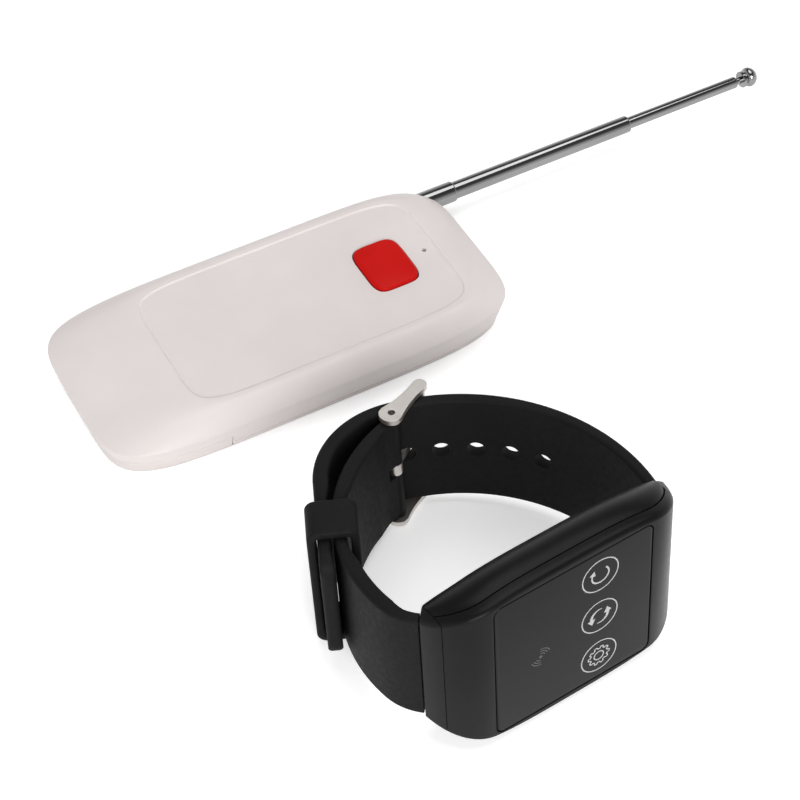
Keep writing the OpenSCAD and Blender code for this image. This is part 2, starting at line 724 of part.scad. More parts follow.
// The pegs of the end links, from the case's end face inwards
module at_pegs() {
    for (side = [-1, 1], sz = [-1, 1])
        translate([peg_at.x, side * (link_y - fit_gap), sz * peg_at.y]) rotate([side * 90, 0, 0]) children();
}

module watch_end_links() {
    color(black) on_wrist() difference() {
        for (side = [-1, 1]) {
            y0 = side > 0 ? link_y : -case_end;
            y1 = side > 0 ? case_end : -link_y;
            skin([case_ring(y0, y1, 0.7, 0, 0), case_ring(y0, y1, 0.25, 0.5, 0), case_ring(y0, y1, 0.06, 1.4, 0),
                case_ring(y0, y1, 1.2, 1.4, 0.85), case_ring(y0, y1, 2.7, 1.4, 1)], ruled = true);
        }
        lug_slots();
    }
    color(black) on_wrist() at_pegs() translate([0, 0, -0.6]) cylinder(d = peg_d, h = peg_l + 0.6, $fn = 32);
}

module pin_bores(d) {
    for (side = [-1, 1]) translate([pin_x, side * pin_y, -pin_half - 0.2])
        cylinder(d = d, h = 2 * pin_half + 0.4, $fn = 32);
}

module watch_glass() {
    color([0.2, 0.2, 0.21]) on_wrist() rounded_slab(glass_l, glass_w, 1.9, -glass_t, 0);
}

module display_panel() {
    color(black) on_wrist()
        rounded_slab(2 * cavity_half_l - 0.6, 2 * cavity_half_w - 0.6, 1, -glass_t - display_t, -glass_t);
}

module watch_board() {
    x1 = -glass_t - display_t;
    color(board_green) on_wrist()
        rounded_slab(2 * cavity_half_l - 0.6, 2 * cavity_half_w - 0.6, 1, x1 - watch_board_t, x1);
}

module watch_cell() {
    x0 = -case_t + back_t;
    color([0.7, 0.7, 0.72]) on_wrist() translate([0, cell_y, 0])
        rounded_slab(cell_l, cell_w, 1.5, x0, x0 + cell_t);
}

module vibration_motor() {
    x0 = -case_t + back_t;
    color(steel) on_wrist() translate([x0, motor_at.x, motor_at.y]) rotate([0, 90, 0])
        cylinder(d = motor_d, h = motor_t);
}

module watch_back() {
    color(black) on_wrist() difference() {
        rounded_slab(2 * cavity_half_l + 2.6, 2 * cavity_half_w - 1.4, 2.8, -case_t, -case_t + back_t);
        at_back_screws() translate([0, 0, -2 * back_t]) cylinder(d = back_screw_d + 0.2, h = 4 * back_t, $fn = 32);
        at_back_screws() translate([0, 0, -2 * back_t])
            cylinder(d = back_head_d + 0.2, h = back_t + back_head_t + 0.1, $fn = 32);
        at_contacts() translate([0, 0, -1]) cylinder(d = contact_d + 0.05, h = back_t + 2, $fn = 32);
    }
}

// The four screws of the back, from the inner face of the back inwards
module at_back_screws() {
    for (sy = [-1, 1], sz = [-1, 1])
        translate([-case_t + back_t, sy * (cavity_half_l - 1.4), sz * (cavity_half_w - 2.6)]) rotate([0, 90, 0])
            children();
}

module back_screws() {
    color(steel) on_wrist() at_back_screws() translate([0, 0, -back_t + 0.1]) {
        cylinder(d = back_head_d, h = back_head_t, $fn = 32);
        cylinder(d = back_screw_d, h = back_t + back_screw_l - 0.4, $fn = 32);
    }
}

module at_contacts() {
    for (i = [-1, 1]) translate([-case_t, 0, i * 2.5]) rotate([0, 90, 0]) children();
}

module charge_contacts() {
    color([0.8, 0.65, 0.3]) on_wrist() at_contacts() cylinder(d = contact_d, h = back_t, $fn = 32);
}

// Strap cross-section with eased edges, outer face at x = 0, thickness towards -x, drawn in by s
module strap_profile(s = 0) {
    translate([-strap_t / 2, 0]) band_outline(strap_t - 2 * s, strap_w - 2 * s, 0.9);
}

// A bend of the strap about centre c, outer radius r, from angle a0 to a1
module strap_bend(c, r, a0, a1, s = 0) {
    translate([c.x, c.y, 0]) rotate([0, 0, a0]) rotate_extrude(angle = a1 - a0, $fn = 96)
        translate([r, 0]) strap_profile(s);
}

module strap_hole(c, r, a) {
    translate([c.x, c.y, 0]) rotate([0, 0, a]) translate([r - strap_t - 1, 0, 0]) rotate([0, 90, 0])
        cylinder(d = hole_d, h = strap_t + 2, $fn = 32);
}

// Narrow end of a strap inside the end link, with the barrel for its pin
module strap_barrel(side, joint, grow = 0) {
    p = [pin_x, side * pin_y];
    d = joint - p;
    half = tongue_half + grow;
    translate([p.x, p.y, -half]) cylinder(r = knuckle_r + grow, h = 2 * half, $fn = 32);
    translate([p.x, p.y, -half]) rotate([0, 0, atan2(d.y, d.x)]) translate([0, -0.9 - grow, 0])
        cube([norm(d) + 10 * grow, 1.8 + 2 * grow, 2 * half]);
}

module holed_strap() {
    color(rubber) on_wrist() difference() {
        union() {
            strap_bend(long_c, long_bend_r, long_start, long_end);
            strap_bend(tail_c, tail_bend_r, long_end - 0.6, tail_end, step_in);
            translate([tail_start.x, tail_start.y, 0]) rotate([0, 0, tail_end]) strap_tail();
            strap_barrel(1, long_joint);
        }
        for (i = [0:hole_count - 1]) let (a = first_hole + i * hole_pitch)
            if (a < long_end) strap_hole(long_c, long_bend_r, a);
        pin_bores(pin_d + 0.1);
    }
}

// Straight tail with a rounded end, drawn along +y from the end of the bend
module strap_tail() {
    r = 4;
    half = strap_w / 2 - 3 * step_in;
    translate([0, -0.3, 0]) rotate([-90, 0, 0]) linear_extrude(tail_l - r + 0.3) strap_profile(2 * step_in);
    translate([3 * step_in - strap_t, tail_l - r, 0]) rotate([90, 0, 90])
        linear_extrude(strap_t - 6 * step_in) intersection() {
            band_outline(2 * r, 2 * half, r - 0.1);
            translate([-1, -half]) square([r + 1, 2 * half]);
        }
}

module buckle_strap() {
    color(rubber) on_wrist() difference() {
        union() {
            strap_bend(short_c, short_bend_r, short_end, heel_angle);
            strap_bend(heel_c, heel_bend_r, heel_angle - 1.5, heel_end, step_in);
            strap_barrel(-1, heel_joint);
            translate([buckle_pin_at.x, buckle_pin_at.y, -strap_w / 2 + 0.1])
                cylinder(r = strap_t / 2 + 0.25, h = strap_w - 0.2);
        }
        translate([buckle_pin_at.x, buckle_pin_at.y, -strap_w]) cylinder(d = pin_d + 0.1, h = 2 * strap_w);
        translate([buckle_pin_at.x, buckle_pin_at.y, -tongue_slot / 2]) rotate([0, 0, short_end - 180])
            translate([-4, -3, 0]) cube([8, 8, tongue_slot]);
        pin_bores(pin_d + 0.1);
    }
}

module strap_pins() {
    color(steel) on_wrist() for (side = [-1, 1]) translate([pin_x, side * pin_y, -pin_half])
        cylinder(d = pin_d, h = 2 * pin_half, $fn = 32);
}

// Side plates pinned to the strap, joined by the bar that the tongue rests on
module buckle_frame() {
    color(steel) on_wrist() difference() {
        union() {
            for (side = [-1, 1]) translate([0, 0, side * (buckle_half - buckle_plate_t / 2) - buckle_plate_t / 2])
                linear_extrude(buckle_plate_t) buckle_side();
            translate([bar_at.x, bar_at.y, -buckle_half + 0.2]) cylinder(r = bar_r, h = 2 * buckle_half - 0.4);
        }
        translate([buckle_pin_at.x, buckle_pin_at.y, -strap_w]) cylinder(d = pin_d + 0.1, h = 2 * strap_w);
    }
}

// Outline of one side plate: round ends about the pin and the bar, a narrower waist between
module buckle_side() {
    l = norm(buckle_d);
    steps = 12;
    half = [for (i = [0:steps]) let (s = i / steps)
        buckle_waist / 2 + (0.94 * pin_end_r - buckle_waist / 2) * pow(1 - s, 2.4)
            + (0.94 * bar_end_r - buckle_waist / 2) * pow(s, 2.4)];
    translate(buckle_pin_at) rotate(angle_of(buckle_d)) union() {
        circle(pin_end_r);
        translate([l, 0]) circle(bar_end_r);
        polygon(concat([for (i = [0:steps]) [l * i / steps, -half[i]]],
            [for (i = [steps:-1:0]) [l * i / steps, half[i]]]));
    }
}

module buckle_tongue() {
    color(steel) on_wrist() translate([buckle_pin_at.x, buckle_pin_at.y, 0]) difference() {
        union() {
            translate([0, 0, -tongue_barrel_l / 2]) cylinder(r = tongue_barrel_r, h = tongue_barrel_l);
            rotate([0, 0, tongue_angle]) translate([0, -tongue_t / 2, -tongue_w / 2])
                cube([norm(buckle_d) + 1.2, tongue_t, tongue_w]);
        }
        translate([0, 0, -tongue_slot]) cylinder(d = pin_d + 0.1, h = 2 * tongue_slot);
    }
}

module buckle_pin() {
    half = buckle_half - pin_sink;
    color(steel) on_wrist() translate([buckle_pin_at.x, buckle_pin_at.y, -half]) cylinder(d = pin_d, h = 2 * half);
}

// Loose band round both layers of the strap
module strap_keeper() {
    w = strap_w + 2 * keeper_gap;
    color(rubber) on_wrist() translate([keeper_at.x, keeper_at.y, 0])
        rotate([0, 0, keeper_angle]) rotate([90, 0, 0]) translate([0, 0, -keeper_l / 2]) linear_extrude(keeper_l) difference() {
            band_outline(keeper_depth + 2 * keeper_t, w + 2 * keeper_t, 2.2);
            band_outline(keeper_depth, w, 0.6);
        }
}

// A rectangle with rounded corners
module band_outline(l, w, r) {
    square([l - 2 * r, w], center = true);
    square([l, w - 2 * r], center = true);
    for (sx = [-1, 1], sy = [-1, 1]) translate([sx * (l / 2 - r), sy * (w / 2 - r)]) circle(r, $fn = 32);
}

front_shell();
rear_plate();
battery_cover();
call_button();
switch_plunger();
tact_switch();
circuit_board();
encoder_chip();
saw_resonator();
board_capacitors();
status_led();
board_screws();
battery();
battery_plate();
battery_spring();
antenna_base_tube();
antenna_bracket();
antenna_screw();
antenna_middle_tube();
antenna_inner_tube();
antenna_rod();
antenna_knob();
case_screws();
watch_bezel();
watch_case();
watch_end_links();
watch_glass();
display_panel();
watch_board();
watch_cell();
vibration_motor();
watch_back();
back_screws();
charge_contacts();
holed_strap();
buckle_strap();
strap_pins();
buckle_frame();
buckle_tongue();
buckle_pin();
strap_keeper();
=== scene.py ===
import bpy
import numpy as np
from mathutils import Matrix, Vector


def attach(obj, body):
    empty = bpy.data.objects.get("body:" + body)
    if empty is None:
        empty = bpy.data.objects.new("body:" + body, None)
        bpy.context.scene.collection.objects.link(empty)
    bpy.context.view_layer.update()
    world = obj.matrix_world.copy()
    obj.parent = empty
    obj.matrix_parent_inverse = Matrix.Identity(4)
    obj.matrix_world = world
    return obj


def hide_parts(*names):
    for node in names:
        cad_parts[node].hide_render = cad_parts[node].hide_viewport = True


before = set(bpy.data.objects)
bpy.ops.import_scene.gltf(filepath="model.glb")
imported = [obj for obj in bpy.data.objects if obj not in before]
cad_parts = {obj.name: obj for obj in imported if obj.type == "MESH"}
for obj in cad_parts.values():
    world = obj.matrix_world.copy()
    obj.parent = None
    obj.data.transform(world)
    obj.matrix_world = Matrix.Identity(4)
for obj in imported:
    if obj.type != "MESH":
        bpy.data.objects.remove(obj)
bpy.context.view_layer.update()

# Front shell of the transmitter
# An injection-moulded crowned lid in pale ABS: a side wall that leans in to the table, a crease,
# a full shoulder, and a raised rim round the sunk panel that carries the button and the light.
MM = 0.001
BODY_L, BODY_W, BODY_H = 100.0, 48.4, 11.4
CREASE_Z, FOOT_INSET, PLATE_T, WALL = 7.5, 2.0, 1.6, 1.4
PANEL_L, PANEL_W, PANEL_X, PANEL_SINK, PANEL_RIM = 68.2, 37.0, 5.9, 0.3, 0.9
PLAN_POWER, PANEL_POWER, SHOULDER_POWER = 5.4, 7.5, 1.8
SEAT_INSET = FOOT_INSET * 0.65
PANEL_Z = BODY_H - PANEL_SINK
COVER_X, COVER_Z, COVER_GAP = -23.0, 4.4, 0.15
BUTTON_L, BUTTON_W, BUTTON_X, BUTTON_GAP = 11.3, 14.6, 27.0, 0.22
LIGHT_X, LIGHT_R, ANTENNA_Y, ANTENNA_Z = 37.0, 0.55, 18.2, 6.0
RING = 288


def oval(a, b, power, x, z):
    """Ring of a superellipse |x/a|^p + |y/b|^p = 1 at height z, by x = a cos^(2/p), y = b sin^(2/p)."""
    t = 2 * np.pi * (np.arange(RING) + 0.5) / RING
    c, s = np.cos(t), np.sin(t)
    return np.stack([x + a * np.sign(c) * np.abs(c) ** (2 / power),
                     b * np.sign(s) * np.abs(s) ** (2 / power), np.full(RING, z)], 1)


def wall_ring(inset, z):
    """The plan outline drawn in by inset, at height z."""
    return oval(BODY_L / 2 - inset, BODY_W / 2 - inset, PLAN_POWER, 0, z)


def lean_in(z):
    """Inset of the straight leaning wall at height z: none at the crease, all of it at the seat."""
    return SEAT_INSET * (CREASE_Z - z) / (CREASE_Z - PLATE_T)


def shoulder_ring(k, depth):
    """Ring of the shoulder from crease (k 0) to rim (k 1): outline and rim blend by k, lift = 1 - (1 - k)^p."""
    a = BODY_L / 2 + (PANEL_L / 2 + PANEL_RIM - BODY_L / 2) * k
    b = BODY_W / 2 + (PANEL_W / 2 + PANEL_RIM - BODY_W / 2) * k
    return oval(a - depth, b - depth, PLAN_POWER + (PANEL_POWER - PLAN_POWER) * k, PANEL_X * k,
                CREASE_Z - depth + (BODY_H - CREASE_Z) * (1 - (1 - k) ** SHOULDER_POWER))


def skin(rings):
    """Closed skin over a stack of rings: quads between ring i and i+1, one flat cap on each end ring.

    Where the last ring repeats the first, the stack closes on itself and has no caps."""
    rings = np.asarray(rings, float)
    endless = np.allclose(rings[0], rings[-1])
    if endless:
        rings = rings[:-1]
    m, n = rings.shape[:2]
    k = np.arange(m * n).reshape(m, n)
    low = k if endless else k[:-1]
    high = np.roll(k, -1, 0)[:len(low)]
    quads = np.stack([low, np.roll(low, -1, 1), np.roll(high, -1, 1), high], -1).reshape(-1, 4).tolist()
    return rings.reshape(-1, 3), quads if endless else quads + [k[0, ::-1].tolist(), k[-1].tolist()]


def merged(*parts):
    """Several closed skins as the vertices and faces of one mesh."""
    verts, faces, base = [], [], 0
    for v, f in parts:
        verts.append(v)
        faces += [[i + base for i in face] for face in f]
        base += len(v)
    return np.concatenate(verts), faces


def block(low, high):
    """A box from its low corner to its high corner, as a skin of two rings."""
    (x0, y0, z0), (x1, y1, z1) = low, high
    return skin([[[x0, y0, z], [x1, y0, z], [x1, y1, z], [x0, y1, z]] for z in (z0, z1)])


def rod(start, axis, length, radius, n=48):
    """A cylinder from start along axis: two rings of points about it."""
    axis = np.asarray(axis, float) / np.linalg.norm(axis)
    side = np.cross(axis, [0.3, 0.5, 0.8])
    side /= np.linalg.norm(side)
    t = 2 * np.pi * np.arange(n) / n
    circle = radius * (np.outer(np.cos(t), side) + np.outer(np.sin(t), np.cross(axis, side)))
    return skin([np.asarray(start, float) + axis * d + circle for d in (0, length)])


def new_object(name, verts, faces):
    """A mesh object at the origin from points in millimetres, with its faces turned outwards."""
    mesh = bpy.data.meshes.new(name)
    mesh.from_pydata((np.asarray(verts) * MM).tolist(), [], faces)
    ob = bpy.data.objects.new(name, mesh)
    bpy.context.scene.collection.objects.link(ob)
    bpy.context.view_layer.objects.active = ob
    bpy.ops.object.mode_set(mode="EDIT")
    bpy.ops.mesh.select_all(action="SELECT")
    bpy.ops.mesh.normals_make_consistent(inside=False)
    bpy.ops.object.mode_set(mode="OBJECT")
    return ob


def carve(ob, verts, faces, operation="DIFFERENCE"):
    """Cut closed skins out of a piece, or join them to it, and keep the result as its mesh."""
    tool = new_object("cutter", verts, faces)
    cut = ob.modifiers.new("cut", "BOOLEAN")
    cut.operation, cut.object, cut.solver = operation, tool, "EXACT"
    done = bpy.data.meshes.new_from_object(ob.evaluated_get(bpy.context.evaluated_depsgraph_get()))
    ob.modifiers.clear()
    ob.data = done
    bpy.data.objects.remove(tool)


def seat(ob, material, body, nodes=(), sharp=32, bevel=0):
    """Finish a piece: eased edges, smooth shading below the sharp angle, material, body, CAD nodes."""
    ob.data.materials.clear()
    ob.data.materials.append(material)
    if bevel:
        ease = ob.modifiers.new("eased edges", "BEVEL")
        ease.width, ease.segments, ease.limit_method, ease.angle_limit = bevel * MM, 3, "ANGLE", np.radians(40)
        ease.harden_normals = True
    ob.data.shade_smooth()
    ob.data.set_sharp_from_angle(angle=np.radians(sharp))
    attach(ob, body)
    if nodes:
        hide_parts(*nodes)


def grain_group():
    """Node group: noise on Object coordinates as a fine height, a soft blotch mask and a speck mask."""
    group = bpy.data.node_groups.new("moulded grain", "ShaderNodeTree")
    for name, value in (("Grain Scale", 4000.0), ("Blotch Scale", 60.0)):
        group.interface.new_socket(name, in_out="INPUT", socket_type="NodeSocketFloat").default_value = value
    for name in ("Height", "Blotch", "Speck"):
        group.interface.new_socket(name, in_out="OUTPUT", socket_type="NodeSocketFloat")
    nodes, links = group.nodes, group.links
    inp, out = nodes.new("NodeGroupInput"), nodes.new("NodeGroupOutput")
    place = nodes.new("ShaderNodeTexCoord")
    fine, broad, speck = (nodes.new("ShaderNodeTexNoise") for _ in range(3))
    fine.inputs["Detail"].default_value = 3
    broad.inputs["Detail"].default_value = 4
    speck.inputs["Detail"].default_value = 0
    for tex, source in ((fine, 0), (broad, 1)):
        links.new(place.outputs["Object"], tex.inputs["Vector"])
        links.new(inp.outputs[source], tex.inputs["Scale"])
    links.new(place.outputs["Object"], speck.inputs["Vector"])
    coarser = nodes.new("ShaderNodeMath")
    coarser.operation = "MULTIPLY"
    coarser.inputs[1].default_value = 0.35
    links.new(inp.outputs[0], coarser.inputs[0])
    links.new(coarser.outputs[0], speck.inputs["Scale"])
    links.new(fine.outputs[0], out.inputs["Height"])
    links.new(broad.outputs[0], out.inputs["Blotch"])
    links.new(speck.outputs[0], out.inputs["Speck"])
    return group


GRAIN = grain_group()


def finish_of(name, dark, light, roughness, grain, bump, blotch=60.0, metallic=0.0, specular=0.5):
    """A moulded or plated finish: colour from dark to light by blotches, roughness by specks, bump by grain."""
    mat = bpy.data.materials.new(name)
    mat.use_nodes = True
    nodes, links = mat.node_tree.nodes, mat.node_tree.links
    shader = nodes["Principled BSDF"]
    grains = nodes.new("ShaderNodeGroup")
    grains.node_tree = GRAIN
    grains.inputs["Grain Scale"].default_value = grain
    grains.inputs["Blotch Scale"].default_value = blotch
    ramp = nodes.new("ShaderNodeValToRGB")
    ramp.color_ramp.elements[0].position, ramp.color_ramp.elements[1].position = 0.3, 0.7
    ramp.color_ramp.elements[0].color = (*dark, 1)
    ramp.color_ramp.elements[1].color = (*light, 1)
    links.new(grains.outputs["Blotch"], ramp.inputs[0])
    links.new(ramp.outputs[0], shader.inputs["Base Color"])
    rough = nodes.new("ShaderNodeMapRange")
    rough.inputs["To Min"].default_value, rough.inputs["To Max"].default_value = roughness
    links.new(grains.outputs["Speck"], rough.inputs[0])
    links.new(rough.outputs[0], shader.inputs["Roughness"])
    relief = nodes.new("ShaderNodeBump")
    relief.inputs["Strength"].default_value = bump
    relief.inputs["Distance"].default_value = 0.0002
    links.new(grains.outputs["Height"], relief.inputs["Height"])
    links.new(relief.outputs[0], shader.inputs["Normal"])
    shader.inputs["Metallic"].default_value = metallic
    shader.inputs["Specular IOR Level"].default_value = specular
    return mat


pale_abs = finish_of("pale ABS", (0.66, 0.605, 0.59), (0.70, 0.645, 0.63), (0.34, 0.46), grain=2600,
                     bump=0.12, specular=0.35)
panel_middle = np.array([PANEL_X, 0, 0])
steps = np.linspace(0, 1, 25)
shell_rings = (
    [panel_middle + (shoulder_ring(1, WALL) - panel_middle) * [0.02, 0.02, 1]]
    + [shoulder_ring(k, WALL) for k in steps[::-1]]
    + [wall_ring(lean_in(PLATE_T) + WALL, PLATE_T), wall_ring(lean_in(PLATE_T) + 0.15, PLATE_T),
       wall_ring(lean_in(PLATE_T), PLATE_T + 0.15)]
    + [wall_ring(lean_in(z), z) for z in np.linspace(2.2, CREASE_Z - 0.3, 10)]
    + [wall_ring(0.03, CREASE_Z - 0.08), wall_ring(0.09, CREASE_Z + 0.08)]
    + [shoulder_ring(k, 0) for k in steps[1:]]
)
rim = np.linspace(0, 1, 9)
rim_top = 0.85 * PANEL_RIM * (1 - rim[1:8:3])
shell_rings += [oval(PANEL_L / 2 + w, PANEL_W / 2 + w, PANEL_POWER, PANEL_X, BODY_H) for w in rim_top]
shell_rings += [oval(PANEL_L / 2 - 0.35 * r, PANEL_W / 2 - 0.35 * r, PANEL_POWER, PANEL_X,
                     BODY_H - PANEL_SINK * r * r * (3 - 2 * r)) for r in rim]
shell_rings += [oval(PANEL_L / 2 * f, PANEL_W / 2 * f, PANEL_POWER, PANEL_X, PANEL_Z) for f in (0.97, 0.5, 0.02)]
button_hole = skin([oval(BUTTON_L / 2 + BUTTON_GAP, BUTTON_W / 2 + BUTTON_GAP, 4.6, BUTTON_X, z)
                    for z in (8, 13)])
housing_front = new_object("housing_front", *skin(shell_rings))
carve(housing_front, *merged(button_hole, block((-60, -40, -1), (COVER_X, 40, COVER_Z)),
                             rod((LIGHT_X, 0, 8), (0, 0, 1), 5, LIGHT_R),
                             rod((3, ANTENNA_Y, ANTENNA_Z), (1, 0, 0), 60, 2.6)))
seat(housing_front, pale_abs, "transmitter", ["front_shell"])

# Rear plate and battery cover
# The flat floor of the transmitter, screwed on from below, and the end piece that slides off to
# the left over the battery; both carry on the wall's lean with a small radius at the table.
SCREWS_AT, SCREW_WELL_R = [(-18.5, 16), (-18.5, -16), (43.5, 9), (43.5, -9)], 2.0
BATTERY_X, RIB_Y, HOOK_Y, TAB_Y = -34.0, 16.0, 17.6, 19.8
COVER_TOP = COVER_Z - COVER_GAP
GRIPS, GRIP_X, GRIP_PITCH, GRIP_W = 5, -43.0, 1.8, 0.9
foot = [wall_ring(FOOT_INSET + 0.1, 0), wall_ring(FOOT_INSET * 0.9, 0.1), wall_ring(FOOT_INSET * 0.75, 0.45),
        wall_ring(lean_in(PLATE_T) + 0.06, PLATE_T - 0.15), wall_ring(lean_in(PLATE_T) + 0.2, PLATE_T - 0.02)]
housing_floor = new_object("housing_floor", *skin(foot))
carve(housing_floor, *block((COVER_X + COVER_GAP, -40, -1), (60, 40, 12)), operation="INTERSECT")
carve(housing_floor, *merged(*[rod((x, y, -1), (0, 0, 1), 2.4, SCREW_WELL_R) for x, y in SCREWS_AT]))
seat(housing_floor, pale_abs, "transmitter", ["rear_plate"])


def both_sides(*boxes):
    """Blocks given by corners from the battery's middle along x, and their mirror images across the housing."""
    pairs = []
    for (x0, y0, z0), (x1, y1, z1) in boxes:
        pairs += [block((BATTERY_X + x0, y0, z0), (BATTERY_X + x1, y1, z1)),
                  block((BATTERY_X + x0, -y1, z0), (BATTERY_X + x1, -y0, z1))]
    return merged(*pairs)


bay = both_sides(((-4.5, RIB_Y, 2), (4.5, RIB_Y + 1.2, 9.2)), ((-2, HOOK_Y + 2.3, 2.4), (8, HOOK_Y + 3, 6.8)),
                 ((-2, HOOK_Y + 1.1, 2.4), (8, HOOK_Y + 2.4, 3.2)), ((-2, HOOK_Y + 2.6, 4.9), (8, HOOK_Y + 4.6, 5.9)))
seat(new_object("battery_bay_ribs", *bay), pale_abs, "transmitter", bevel=0.1)

cover_rings = foot[:3] + [wall_ring(lean_in(z), z) for z in (1.6, 2.6, COVER_TOP - 0.15)] + [
    wall_ring(lean_in(COVER_TOP) + 0.15, COVER_TOP), wall_ring(lean_in(COVER_TOP) + WALL, COVER_TOP),
    wall_ring(lean_in(1.2) + WALL, 1.2)]
battery_door = new_object("battery_door_cap", *skin(cover_rings))
carve(battery_door, *block((-60, -40, -1), (COVER_X - COVER_GAP, 40, 12)), operation="INTERSECT")
carve(battery_door, *merged(*[block((x, -8, -0.6), (x + GRIP_W, 8, 0.4))
                              for x in GRIP_X + GRIP_PITCH * np.arange(GRIPS)]))
seat(battery_door, pale_abs, "battery_door", ["battery_cover"])
hooks = both_sides(((-2, HOOK_Y, 0.9), (6, HOOK_Y + 0.8, 3.95)), ((-2, HOOK_Y + 0.7, 3.3), (6, HOOK_Y + 1.9, 3.95)),
                   ((6, TAB_Y - 1, 1), (10.5, TAB_Y + 1, 2.3)), ((9.5, TAB_Y - 1, 1.7), (12.8, TAB_Y + 1, 2.3)))
seat(new_object("battery_door_hooks", *hooks), pale_abs, "battery_door", bevel=0.1)

# Call button
# A red gloss cap with a softly domed top and a rolled edge, standing a millimetre out of the panel.
BUTTON_TOP = PANEL_Z + 1.0
red_gloss = finish_of("red gloss cap", (0.50, 0.006, 0.005), (0.55, 0.008, 0.006), (0.30, 0.38), grain=3000,
                      bump=0.03, specular=0.06)
roll = np.linspace(0, np.pi / 2, 9)
edge = [(0.75 * (1 - np.cos(a)), BUTTON_TOP - 0.3 - 0.6 * (1 - np.sin(a))) for a in roll]
dome = [(0.75 + 4.5 * d, BUTTON_TOP - 0.3 + 0.3 * (1 - (1 - d) ** 2.2)) for d in np.linspace(0.06, 1, 10)]
button_rings = [oval(BUTTON_L / 2, BUTTON_W / 2, 4.5, BUTTON_X, 8.7)]
button_rings += [oval(BUTTON_L / 2 - e, BUTTON_W / 2 - e, 4.5 - 1.6 * min(1, e / 5), BUTTON_X, z)
                 for e, z in edge + dome]
button_cap = new_object("button_cap", *skin(button_rings))
seat(button_cap, red_gloss, "button", ["call_button"], sharp=50)

# Telescopic antenna
# Drawn brass tube plated bright, each section sliding out of the last through a rolled-in mouth,
# with a turned knob on the tip of the solid rod.
KNOB_X, KNOB_R, ROD_R = 136.9, 2.45, 0.85


def revolve_x(profile, n=96):
    """Profile of (x, radius) pairs turned about the antenna's axis, closed flat at its ends."""
    t = 2 * np.pi * np.arange(n) / n
    return skin([np.stack([np.full(n, x), ANTENNA_Y + r * np.cos(t), ANTENNA_Z + r * np.sin(t)], 1)
                 for x, r in profile])


def tube(x0, x1, r, bore):
    """A drawn tube from x0 to x1, open at both ends: straight wall, mouth rolled in, even bore."""
    roll = [(x1 - 0.35 + 0.35 * np.sin(a), r - 0.32 * (1 - np.cos(a))) for a in np.linspace(0, np.pi / 2, 8)]
    return revolve_x([(x0, bore), (x0, r), *roll, (x1, bore), (x0, bore)])


plated = finish_of("bright plated tube", (0.24, 0.24, 0.24), (0.29, 0.29, 0.29), (0.07, 0.12), grain=1500, bump=0.01,
                   blotch=40, metallic=1.0)
core = [(80, 0.01), (80, ROD_R), (KNOB_X + 0.1, ROD_R), (KNOB_X + 0.1, 0.01)]
for name, node, body, shape in (
        ("antenna_base", "antenna_base_tube", "transmitter", tube(3, 55, 2.5, 2.15)),
        ("antenna_middle_section", "antenna_middle_tube", "antenna_middle", tube(48, 103.7, 2.1, 1.5)),
        ("antenna_inner_section", "antenna_inner_tube", "antenna_inner", tube(78, 135.3, 1.45, 0.9)),
        ("antenna_core", "antenna_rod", "antenna_tip", revolve_x(core))):
    seat(new_object(name, *shape), plated, body, [node])
knob_ring = [(0, 0.01), (0, 1.9), (0.14, 2.04), (0.66, 2.04), (0.82, 1.9)]
knob_groove = [(1.0, 1.56), (1.15, 1.52), (1.3, 1.56), (1.6, 2.2)]
knob_edge = [(1.9 + 0.3 * np.sin(a), KNOB_R - 0.1 * (1 - np.sin(a))) for a in np.linspace(0, np.pi / 2, 4)[:-1]]
knob_head = [(2.2 + 2.2 * np.sin(a), KNOB_R * np.cos(a * 0.98)) for a in np.linspace(0, np.pi / 2, 14)]
knob_profile = knob_ring + knob_groove + knob_edge + knob_head
knob = new_object("antenna_end_knob", *revolve_x([(KNOB_X + x, r) for x, r in knob_profile]))
seat(knob, plated, "antenna_tip", ["antenna_knob"], sharp=40)

# Wrist receiver's place
# The receiver stands on its edge beside the transmitter, leaning until case and buckle both touch.
# Its pieces are drawn with x out of the glass, y along the strap and z across it.
CASE_W, CASE_T, CASE_END, LINK_Y, BEZEL_T, STAND_X = 41.0, 11.0, 29.2, 27.0, 3.0, 6.0
GLASS_L, GLASS_W, FRONT_FALL, FLAT_HALF = 37.0, 37.0, 13.0, 18.5
LONG_R, SHORT_R, HEEL_R = 43.0, 36.0, 13.0
STRAP_W, STRAP_T, STRAP_CLEAR = 28.0, 2.6, 0.4
LONG_C = np.array([-19.5, CASE_END - 0.9 - np.sqrt(LONG_R ** 2 - 9 ** 2)])
STRAP_FROM, LONG_END, TAIL_END, HEEL_END = 78.2, 165, 241, 316
PIN_ANGLE, PIN_DEPTH, BAR_ANGLE, BAR_LIFT = 165.4, 1.2, 154.5, 0.3
BAR_R, BAR_END_R, PIN_END_R, PLATE_TH = 1.1, 1.6, 2.6, 1.2
BUCKLE_HALF = STRAP_W / 2 + 0.45 + PLATE_TH


def ray(degrees):
    """Unit vector at an angle in the receiver's own plane."""
    return np.array([np.cos(np.radians(degrees)), np.sin(np.radians(degrees))])


def heading_of(v):
    """Angle of a vector, 0 to 360 degrees."""
    return np.degrees(np.arctan2(v[1], v[0])) % 360


